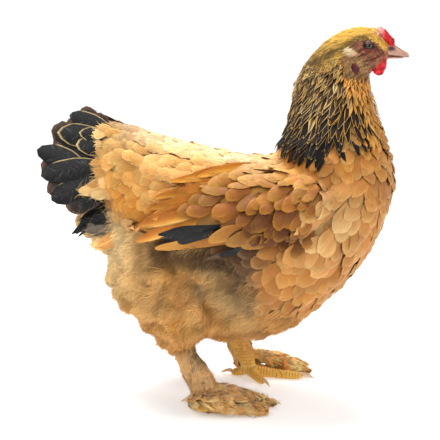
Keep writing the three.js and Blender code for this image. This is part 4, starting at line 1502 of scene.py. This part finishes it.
# feathers on the shank and the toes
bootCoat = {"voxel": 2, "rounds": 8, "grow": 0.2, "gap": 4.6, "length": 24, "width": 8, "candidates": 16000,
            "wispGap": 2.1, "wispCandidates": 40000, "wispLength": (8, 15), "lowest": 2.2, "highest": 96,
            "bareBehind": {"left": 9, "right": 13}}
bootVane = {**softVane, "rows": 8, "columns": 5, "tip": 0.55, "ragged": 0.2, "hairs": 44, "hair": 9,
            "hairFrom": 0.2, "raise": 0.9, "cup": 0.25, "droop": 0, "depth": 3.4, "lift": 0.4, "roll": 0.2,
            "fine": 0.26, "uneven": 0.12}
bootTuft = {**wispTuft, "strands": 4, "depth": 1.6, "lift": 1.2, "gap": 1.1, "width": 0.7, "spread": 0.2,
            "curl": 0.16}


def growBoots(sideName, rng):
    sign, ankle = sideSigns[sideName], ankles[sideName]
    shells = [*legShells(sideName), cadSurface(f"boot_feathers_{sideName}", bootCoat["grow"])]
    points, quads = remeshed(*gathered(shells), bootCoat["voxel"])
    surface = Surface(relax(points, quads, bootCoat["rounds"]), quads)
    surface.part = np.array(["boot"] * len(points))

    def flow(places):
        # down the shank, then out over the foot and along the toes
        z = places[:, 2]
        down = smooth(20, 42, z)[:, None]
        out = unit(np.stack([np.full(len(z), 1.0) + 0.4 * smooth(ankle, ankle + 50, places[:, 0]),
                             sign * (0.25 + 0.5 * smooth(ankle + 40, ankle - 10, places[:, 0])),
                             -0.5 + 0.2 * smooth(12, 4, z)], 1))
        return unit(mixed(out, np.array([0.25, sign * 0.12, -1]), down))

    def allowed(places, part):
        x, out, z = places[:, 0], places[:, 1] * sign - stance, places[:, 2]
        bare = (out < -3 - 5 * rng.random(len(x))) & (z < 24) & (x < ankle + 45)
        if sideName == "left":
            # the toes and the foot's inner side are bare
            gaps = gapsTo(shells, places)
            onToes = gaps[:, :-1].min(1) < gaps[:, -1] + 0.5
            bare = (out < 5) & (z < 27) & onToes
            bare |= (out < 2) & (z < 36) & (x > ankle - 6) & onToes
        front = (x > ankle + 88) | ((z < 3) & (x > ankle))
        behind = (z > 48) & (x < shankAxis(sideName, z, 1.3) - bootCoat["bareBehind"][sideName])
        return (z > bootCoat["lowest"]) & (z < bootCoat["highest"]) & ~bare & ~front & ~behind

    def streak(places):
        # a dark streak down the front of the shank
        x, y, z = places.T
        return smooth(5, 9, x - shankAxis(sideName, z)) * smooth(52, 64, z) * smooth(94, 84, z)

    def gap(places):
        return bootCoat["gap"] + 1.6 * smooth(36, 22, places[:, 2])

    places = rootsOn(surface, bootCoat["candidates"], gap, allowed, rng)
    x, z = places[:, 0], places[:, 2]
    onFoot = smooth(36, 22, z)
    lengths = bootCoat["length"] * (rng.uniform(0.65, 1.15, len(places)) * (1 + 0.1 * onFoot))
    paths, normals = walk(surface, places, lengths, rng.normal(0, 0.3, len(places)), flow=flow)
    kind = rng.random(len(places))
    names = np.select([kind < 0.4, kind < 0.55, kind < 0.8, kind < 0.86],
                      ["tan", "buff", "pale", "brown"], "cream")
    tint = np.array([plumage[name] for name in names]) * varied(rng, 0.95, 1.25, places)
    even = smooth(20, 40, z)[:, None] * 0.85
    tint = mixed(tint, tone(240, 188, 124) * varied(rng, 0.94, 1.08, places), even)
    if sideName == "left":
        inner = (smooth(6, -2, places[:, 1] - stance) * smooth(20, 34, z))[:, None] * 0.8
        tint = mixed(tint * 1.5, tone(226, 172, 80), inner)
    dark = np.clip(0.75 * streak(places) * (sideName == "right") + smooth(9, 2, z) * 0.2, 0, 0.85)
    tint = mixed(tint, plumage["brown"], dark[:, None])

    def shaftDark(colour, share, across):
        foot = onFoot[:, None, None]
        dark = (smooth(0.35, 0, np.abs(across)) * smooth(0.2, 0.6, share) * 0.15)[..., None]
        tip = (smooth(0.7, 1, share) * 0.25 + smooth(0.6, 1, np.abs(across)) * foot * 0.45)[..., None]
        # the feathers over the foot are painted with shade towards their covered roots
        paintedShade = (smooth(0.8, 0.3, share) * foot * 0.6)[..., None]
        return mixed(colour * (1 - dark) * (1 - paintedShade), plumage["cream"], tip)

    widths = bootCoat["width"] * rng.uniform(0.8, 1.2, len(places)) * (1 + 0.3 * onFoot)
    vanes = layVanes(paths, normals, widths, bootVane, tint, rng, shaftDark)
    places = rootsOn(surface, bootCoat["wispCandidates"], bootCoat["wispGap"], allowed, rng)
    places = places[rng.random(len(places)) < 0.06 + 0.94 * smooth(16, 34, places[:, 2])]
    lengths = rng.uniform(*bootCoat["wispLength"], len(places))
    turns = 0.4 * swell(places, 14, 71) + rng.normal(0, 0.2, len(places))
    paths, normals = walk(surface, places, lengths, turns, steps=3, flow=flow)
    soft = tone(246, 200, 142) * (0.92 + 0.18 * swell(places * [1, 1, 0.3], 6, 72))[:, None]
    if sideName == "left":
        soft = mixed(soft, tone(230, 176, 84), (smooth(10, 0, places[:, 1] - stance) * 0.9)[:, None])
    soft = mixed(soft, plumage["brown"], (streak(places) * 0.85)[:, None])
    return [vanes, layDown(paths, normals, bootTuft, soft * varied(rng, 0.85, 1.1, places), rng)]


for sideName, sign in sideSigns.items():
    rng = np.random.default_rng(17)
    ankle = ankles[sideName]
    makeCoat(f"boots_{sideName}", growBoots(sideName, rng), contourFinish, "fluff",
             ((ankle - 20, sign * stance, 80), (ankle + 30, sign * (stance + 12), 0)),
             [f"boot_feathers_{sideName}"])
print("feet feathered")


# ---- skin

skinLook = {"voxel": 1.0, "rounds": 3, "bodyDepth": 6.5, "headDepth": 1.1, "keep": 0.13, "scaleRow": 3.6}


def ball(centre, radii, rings=10, sides=14):
    tilt = math.pi * np.arange(1, rings)[:, None] / rings
    turn = 2 * math.pi * np.arange(sides)[None] / sides
    shell = [np.sin(tilt) * np.cos(turn), np.sin(tilt) * np.sin(turn), -np.cos(tilt) * np.ones(sides)]
    points = np.concatenate([np.stack(shell, -1).reshape(-1, 3), [(0, 0, -1), (0, 0, 1)]])
    quads, caps = cappedFaces(rings - 1, sides)
    return points * radii + centre, quads.tolist() + caps.tolist()


combLine = [(186.6, 438.6), (190.5, 437.9), (195, 434.4), (200, 429.6), (204.5, 424.5)]


def combShells():
    # a ridge with three rows of small knobs
    rng = np.random.default_rng(41)
    base = [(x, 0, z - 2.6) for x, z in combLine]
    shells = [sweep(base, [4.6, 5.6, 5.2, 4.4, 3], [3.4, 4.2, 4, 3.4, 2.2], 24, 18, (6, 6))]
    for row, size, lift, count in ((0, 2.7, 2.9, 6), (1, 2.3, 0.9, 6), (-1, 2.3, 0.9, 6)):
        for k in range(count):
            share = (k + (0.5 if row else 0)) / count
            x, z = (np.interp(share, [0, 0.25, 0.5, 0.75, 1], values) for values in zip(*combLine))
            knob = size * rng.uniform(0.75, 1.2) * (1.05 - 0.3 * share)
            x, y = x + rng.uniform(-0.5, 0.5), row * 4.4 * (1 - 0.3 * share)
            shells.append(ball((x, y, z + lift * (1 - 0.4 * share)), (knob, knob * 0.95, knob * 1.15)))
    return shells


def lobeShells():
    # the wattles and the ear lobes
    shells = []
    for sign in sideSigns.values():
        wattle = np.array([(193.5, 7, 410), (191, 9.4, 402.5), (186.4, 11.3, 396), (182.6, 11.9, 391.5)])
        lobe = np.array([(156.5, 20, 404), (160, 20.8, 398.5), (164, 20, 392.5)])
        shells.append(sweep(wattle * [1, sign, 1], [2, 2.5, 2.9, 2.2], [3, 5.8, 7.4, 5], 18, 16, (6, 6)))
        shells.append(sweep(lobe * [1, sign, 1], [1.9, 2.6, 1.8], [3.4, 4.9, 3], 12, 14, (6, 6)))
    return shells


def bodyUnderCoat():
    points = hull.points
    x, y, z = folded(points).T
    onHead = smooth(388, 404, z) * smooth(120, 140, x)
    depth = mixed(skinLook["bodyDepth"], skinLook["headDepth"], onHead)
    face = smooth(148, 160, x) * smooth(384, 392, z) * smooth(433, 427, z)
    return points - hull.normals * (depth * (1 - face * onHead))[:, None], hull.quads.tolist()


def thinned(points, quads):
    # fewer faces under the feathers, all of them on the head and the feet
    x, z = points[:, 0], points[:, 2]
    coarse = np.nonzero((z > 66) & ((z < 384) | (x < 136)))[0]
    return modified(points, quads.tolist(), "DECIMATE", coarse.tolist(), ratio=skinLook["keep"],
                    vertex_group="group", vertex_group_factor=1000)


def shapeLids(points):
    # lays the skin over each eyeball as two lids, and draws it back behind the ball where the eye is open
    points = points.copy()
    ring, lid = np.zeros((2, len(points)))
    for sign in sideSigns.values():
        centre, outward, forward, upward = eyeFrame(sign)
        gap = points - centre
        s, t, w = gap @ forward, gap @ upward, gap @ outward
        lateral = np.hypot(s, t)
        local = (lateral < 15) & (w > -9)
        high, long = np.where(t > 0, eye["high"], eye["low"]), eye["long"]
        almond = np.abs(t) / high + (np.abs(s) / long) ** 2 - 1
        rim = almond / np.sqrt((1 / high) ** 2 + (2 * s / long ** 2) ** 2)
        rise = smooth(-0.5, 0.1, rim)
        shell = 5.2 + rise * 1.75 + 0.4 * np.exp(-((rim - 0.4) / 0.45) ** 2) * rise
        dome = np.sqrt(np.maximum(shell ** 2 - lateral ** 2, 0.02))
        # the socket's soft swelling, with fine creases and a brow
        crease = np.cos(rim * 2 * math.pi / eye["crease"]) * smooth(0.5, 1.2, rim) * np.exp(-rim / 3)
        furrow = np.exp(-((rim - 3.4) / 0.9) ** 2) * smooth(3, -3, t)
        mound = socketRise(s, t) + 0.25 * crease - 0.6 * furrow
        around = w + mound * rise
        over = 0.5 * (dome + around + np.sqrt((dome - around) ** 2 + 0.8 * rise))
        height = np.where(local, mixed(over, w, smooth(8.5, 14, lateral)), w)
        points += outward * (height - w)[:, None]
        behind = (1 + 0.7 * smooth(2, -5, s)) * (1 - 0.4 * smooth(1.5, 4, t))
        ring = np.maximum(ring, local * smooth(3.6 * behind, 1, rim))
        # painted shade round the eye opening, widest under the upper lid
        above = 1 + 2.4 * smooth(0.5, 2.2, t)
        lid = np.maximum(lid, local * smooth(1.4 * above, 0.3, rim / (1 + 1.2 * smooth(3, 6.5, s))))
    return points, ring, lid


def foldFace(points, normals):
    # fine creases over the cheek and the lore
    x, y, z = folded(points).T
    face = smooth(150, 160, x) * smooth(384, 390, z) * smooth(432, 426, z) * smooth(198, 194, x)
    along = z * 0.9 - x * 0.35 + 1.5 * swell(points, 14, 51)
    crease = 0.22 * np.sin(along * 1.5) + 0.3 * swell(points, 5, 52)
    return points + normals * (face * crease)[:, None]


def makeSkin():
    shells = [bodyUnderCoat(), *legShells("left"), *legShells("right"), *combShells(), *lobeShells()]
    points, quads = remeshed(*gathered(shells), skinLook["voxel"])
    points = relax(points, quads, skinLook["rounds"])
    points = foldFace(points, cornerNormals(points, quads))
    mesh = thinned(points, quads)
    shell = bmesh.new()
    shell.from_mesh(mesh)
    bpy.data.meshes.remove(mesh)
    for radius in eye["finer"]:
        inner = [edge for edge in shell.edges if all(
            (Vector((abs(c.co.x), abs(c.co.y), c.co.z)) / mm - Vector(eye["centre"])).length < radius
            for c in edge.verts)]
        bmesh.ops.subdivide_edges(shell, edges=inner, cuts=1, use_grid_fill=True)
    bmesh.ops.triangulate(shell, faces=shell.faces)
    points = np.array([corner.co for corner in shell.verts]) / mm
    triangles = np.array([[corner.index for corner in face.verts] for face in shell.faces])
    shell.free()
    points, ring, lid = shapeLids(points)
    points[:, 2] = np.maximum(points[:, 2], 0)
    return points, triangles, ring, lid


def legSpan(points):
    # how far along the toes or up the shank each place is, for the rows of scales
    best = np.full(len(points), 1e9)
    span = np.zeros(len(points))
    for sideName, sign in sideSigns.items():
        for toe in toes.values():
            angle = math.radians(toe["turn"])
            way = np.array([math.cos(angle), sign * math.sin(angle)])
            gap = points[:, :2] - [ankles[sideName], sign * stance]
            reach = gap @ way
            off = np.abs(gap @ [-way[1], way[0]]) + np.maximum(-reach, 0)
            off = off + np.maximum(points[:, 2] - 14, 0) * 3
            span = np.where(off < best, reach, span)
            best = np.minimum(best, off)
    return np.where(points[:, 2] > 15, points[:, 2] * 0.92, span)


def legShare(points):
    # 1 on the scaled shanks and toes
    x, z = points[:, 0], points[:, 2]
    share = smooth(38, 30, z)
    for sideName, sign in sideSigns.items():
        gap = np.abs(x - shankAxis(sideName, z, 1.3))
        close = smooth(17, 12, gap) * smooth(20, 14, np.abs(points[:, 1] * sign - stance))
        share = np.maximum(share, close * smooth(92, 84, z))
    return share


def skinFields(points, ring, lid):
    x, y, z = folded(points).T
    ridge = np.interp(x, *zip(*combLine))
    front = smooth(185, 190, x)
    comb = smooth(0, 1.4, z - ridge + 4.5 + 3.4 * front) * smooth(0, 1.3, 7.6 + 1.8 * front - y)
    comb = comb * smooth(180, 182.5, x) * smooth(210, 208, x)
    wattle = smooth(411, 408, z) * smooth(385, 388, z) * smooth(4.6, 5.6, y)
    wattle = wattle * smooth(0, 1.4, x - np.interp(z, *wattleEdge))
    bare = np.maximum(smooth(1, -3, z - crownEdge(x, y)), nearEye(points, 9))
    face = smooth(148, 158, x) * smooth(382, 388, z) * bare
    lobe = smooth(0.25, 0.5, lobeShare(points)) * smooth(385, 388, z)
    # painted shade from the brow darkens the skin above the eye
    brow = smooth(9.5, 8, np.linalg.norm(folded(points) - eye["centre"], axis=1))
    lid = np.maximum(lid, 0.8 * brow * smooth(1.8, 3.2, z - eye["centre"][2]))
    return {"comb": comb, "wattle": wattle, "lobe": lobe, "face": face, "ring": ring, "lid": lid,
            "leg": legShare(points), "span": legSpan(points), "tint": coatColour(points) * 0.75,
            "rear": smooth(194, 188, x)}


def skinFinish():
    made = Finish("skin")
    place = made.place()
    fine = made.noise(place, 1300, 3, 0.6)
    coarse = made.noise(place, 230, 3, 0.55)
    broad = made.noise(place, 60, 2, 0.5)
    # rows of scales across the toes and up the shank
    rows = (made.field("span") * (2 * math.pi / skinLook["scaleRow"])).sine()
    cells = made.node("ShaderNodeTexVoronoi", {"feature": "DISTANCE_TO_EDGE"},
                      {"Vector": place, "Scale": 420})
    scutes = made.between(rows, -1, -0.55) * 0.8 + made.between(cells, 0, 0.12) * 0.2
    horny = made.ramp(coarse * 0.5 + scutes * 0.3 + broad * 0.2,
                      [(0.3, tone(196, 134, 50)), (0.5, tone(228, 172, 70)), (0.75, tone(242, 198, 108))])
    horny = made.blend(made.between(scutes, 0.6, 0.1) * 0.22, horny, tone(160, 106, 50))
    face = made.ramp(coarse * 0.6 + broad * 0.4,
                     [(0.36, tone(88, 46, 36)), (0.5, tone(136, 78, 56)), (0.66, tone(174, 114, 80))])
    ring = made.ramp(coarse * 0.7 + fine * 0.3, [(0.38, tone(64, 22, 24)), (0.6, tone(136, 54, 54))])
    red = made.ramp(coarse * 0.7 + fine * 0.3,
                    [(0.36, tone(116, 4, 12)), (0.52, tone(204, 14, 26)), (0.72, tone(232, 72, 78))])
    pink = made.ramp(coarse, [(0.35, tone(206, 104, 104)), (0.65, tone(238, 176, 168))])
    lobe = made.ramp(coarse, [(0.3, tone(40, 12, 20)), (0.7, tone(104, 34, 42))])
    comb = made.blend(made.field("rear") * 0.8, red, pink)
    colour = made.field("tint", "Vector")
    # the near-black lid colour is painted shade round the eye
    for name, share, over in (("leg", 1, horny), ("face", 1, face), ("ring", 1, ring),
                              ("lid", 0.85, tone(38, 24, 24)), ("lobe", 1, lobe), ("wattle", 1, red),
                              ("comb", 1, comb)):
        colour = made.blend(made.field(name) * share, colour, over)
    height = scutes * made.field("leg") * 1.5 + coarse * 0.8 + fine * 0.35
    normal = made.bump(height, 0.7, 0.0007)
    return made.surface(colour, made.between(fine, 0.2, 0.8) * 0.18 + 0.44, normal, Subsurface_Weight=0.08,
                        Subsurface_Scale=0.002, Specular_IOR_Level=0.3)


skinPoints, skinTriangles, *lidFields = makeSkin()
skin = makeObject("skin", skinPoints, np.zeros((0, 4), int), skinTriangles,
                  skinFields(skinPoints, *lidFields))
skin.data.validate()
fit(skin, skinFinish(), "face_skin", "trunk", "neck", "head", "vent_fluff", "comb", *[
    f"{name}_{sideName}" for sideName in sideSigns for name in (
        "thigh", "wing", "shank", "wattle", "ear_lobe", "toe_middle", "toe_outer", "toe_inner", "toe_hind")])
print("skin:", len(skinTriangles), "triangles")


# ---- eyes

def eyeFinish():
    made = Finish("eye")
    ring = made.field("ring")
    spokes = made.noise(made.join(made.field("turn") * 9, ring * 5, 0), 1, 3, 0.6)
    iris = made.ramp(spokes, [(0.35, tone(34, 36, 26)), (0.65, tone(74, 76, 56))])
    colour = made.blend(made.between(ring, 0.25, 0.21), iris, tone(6, 5, 6))
    colour = made.blend(made.between(ring, 0.5, 0.6), colour, tone(40, 22, 18))
    colour = made.blend(made.between(ring, 0.62, 0.8), colour, tone(20, 12, 12))
    roughness = made.noise(made.place(), 900) * 0.06 + 0.12
    return made.surface(colour, roughness, None, Coat_Weight=0.35, Coat_Roughness=0.05,
                        Specular_IOR_Level=0.3)


wetEye = eyeFinish()


def makeEye(sideName, sign):
    rings, sides = 26, 40
    centre, outward, forward, upward = eyeFrame(sign)
    tilt = np.linspace(0.02, math.pi, rings)[:, None]
    turn = np.linspace(0, 2 * math.pi, sides, endpoint=False)[None]
    bulge = eye["radius"] + 0.45 * np.exp(-(tilt / 0.5) ** 2)
    points = centre + (outward * (np.cos(tilt) * bulge * np.ones_like(turn))[..., None]
                       + forward * (np.sin(tilt) * np.cos(turn) * bulge)[..., None]
                       + upward * (np.sin(tilt) * np.sin(turn) * bulge)[..., None])
    points = np.concatenate([points.reshape(-1, 3), [centre + outward * (eye["radius"] + 0.46)]])
    quads, caps = cappedFaces(rings, sides)
    quads = np.roll(quads, -1, axis=1)
    if sign < 0:
        quads, caps = quads[:, ::-1], caps[:, ::-1]
    angle = np.append(np.repeat(tilt[:, 0], sides), 0)
    # the ball's far end is already closed
    made = makeObject(f"eyeball_{sideName}", points, quads, caps[:sides],
                      {"ring": angle, "turn": np.append(np.tile(np.sin(turn[0] * 3), rings), 0)})
    fit(made, wetEye, "eye", f"eye_{sideName}")


for sideName, sign in sideSigns.items():
    makeEye(sideName, sign)


# ---- bill

# stations: top x and z, bottom x and z, half width
upperBill = [(183, 420, 183, 418, 3), (187, 425, 186, 412.5, 6.4), (193, 425.6, 191, 411.9, 6.8),
             (199, 425.4, 197, 411.6, 6.4), (204.6, 424, 203, 411.3, 5.5), (208.6, 421.4, 207.6, 411, 4.6),
             (212.8, 418.8, 211.6, 410.6, 3.7), (217.4, 416.6, 215.8, 410.1, 2.8),
             (220.2, 414.2, 219.4, 409.9, 1.7), (221.1, 411.6, 220.9, 410.2, 0.8)]
lowerBill = [(184, 409.5, 184, 408.5, 3), (189, 411.7, 189.6, 407.4, 5.6), (196.4, 411.6, 196, 408, 5.1),
             (204.4, 411.3, 203.4, 408.4, 3.9), (211.4, 410.6, 210.4, 408.6, 2.6),
             (215, 409.9, 214.6, 409.2, 1.1)]


def loft(stations, ringCount, sides, sharp):
    stations = np.array(stations, float)
    at = np.linspace(0, 1, len(stations))
    share = np.linspace(0, 1, ringCount)
    tube = np.stack([np.interp(share, at, stations[:, k]) for k in range(5)], 1)
    kernel = np.array([0.25, 0.5, 0.25])
    for turn in range(3):
        tube[1:-1] = sum(weight * tube[k:len(tube) - 2 + k] for k, weight in enumerate(kernel))
    angle = np.linspace(0, 2 * math.pi, sides, endpoint=False)
    rise = (np.sin(angle) + 1) / 2
    broad = np.cos(angle) * (1 - sharp * np.clip(np.sin(angle), 0, 1) ** 1.2)
    top, bottom = tube[:, None, 0:2], tube[:, None, 2:4]
    middle = bottom + (top - bottom) * rise[None, :, None]
    points = np.stack([middle[..., 0], broad[None] * tube[:, 4:5], middle[..., 1]], -1)
    ends = [points[0].mean(0), points[-1].mean(0)]
    return np.concatenate([points.reshape(-1, 3), ends]), *cappedFaces(ringCount, sides)


def makeBill(name, node, stations, sharp, upper):
    points, quads, triangles = loft(stations, 44, 36, sharp)
    x, y, z = folded(points).T
    side = np.sign(points[:, 1])
    nostril = np.exp(-(((x - 200.5) / 4.8) ** 2 + ((z - 420) / 3) ** 2)) * smooth(1, 3, y)
    slant = z - 419.9 + 0.3 * (x - 203)
    slit = np.exp(-(((x - 203.2) / 1.9) ** 2 + (slant / 0.75) ** 2)) * smooth(1, 3, y)
    if upper:
        points[:, 1] += side * (0.9 * nostril - 1.1 * slit)
        points[:, 2] += 0.5 * nostril
    rimLine = np.interp(x, [192, 198, 203, 207], [424.4, 424.6, 423.6, 421.6])
    flesh = np.exp(-((z - rimLine) / 1.1) ** 2) * smooth(209, 204, x) * smooth(0.5, 2, y)
    cere = np.maximum(smooth(198.5, 192, x) * 0.9, flesh * 0.8)
    dim = np.clip(1.5 * nostril ** 1.5 * smooth(209, 203, x) + slit - flesh, 0, 1) * upper
    ridge = smooth(3.2, 0.6, y) * smooth(0.4, 1, (z - 408) / 14) * smooth(196, 203, x) * upper
    mouth = smooth(1.6, 0.3, np.abs(z - 411)) * 0.35
    made = makeObject(name, points, quads, triangles,
                      {"ridge": ridge, "cere": cere, "dim": np.clip(dim + mouth, 0, 1)})
    fit(made, billFinish, "horn", node)


makeBill("bill_upper_horn", "bill_upper", upperBill, 0.45, True)
makeBill("bill_lower_horn", "bill_lower", lowerBill, 0.1, False)
print("head finished")
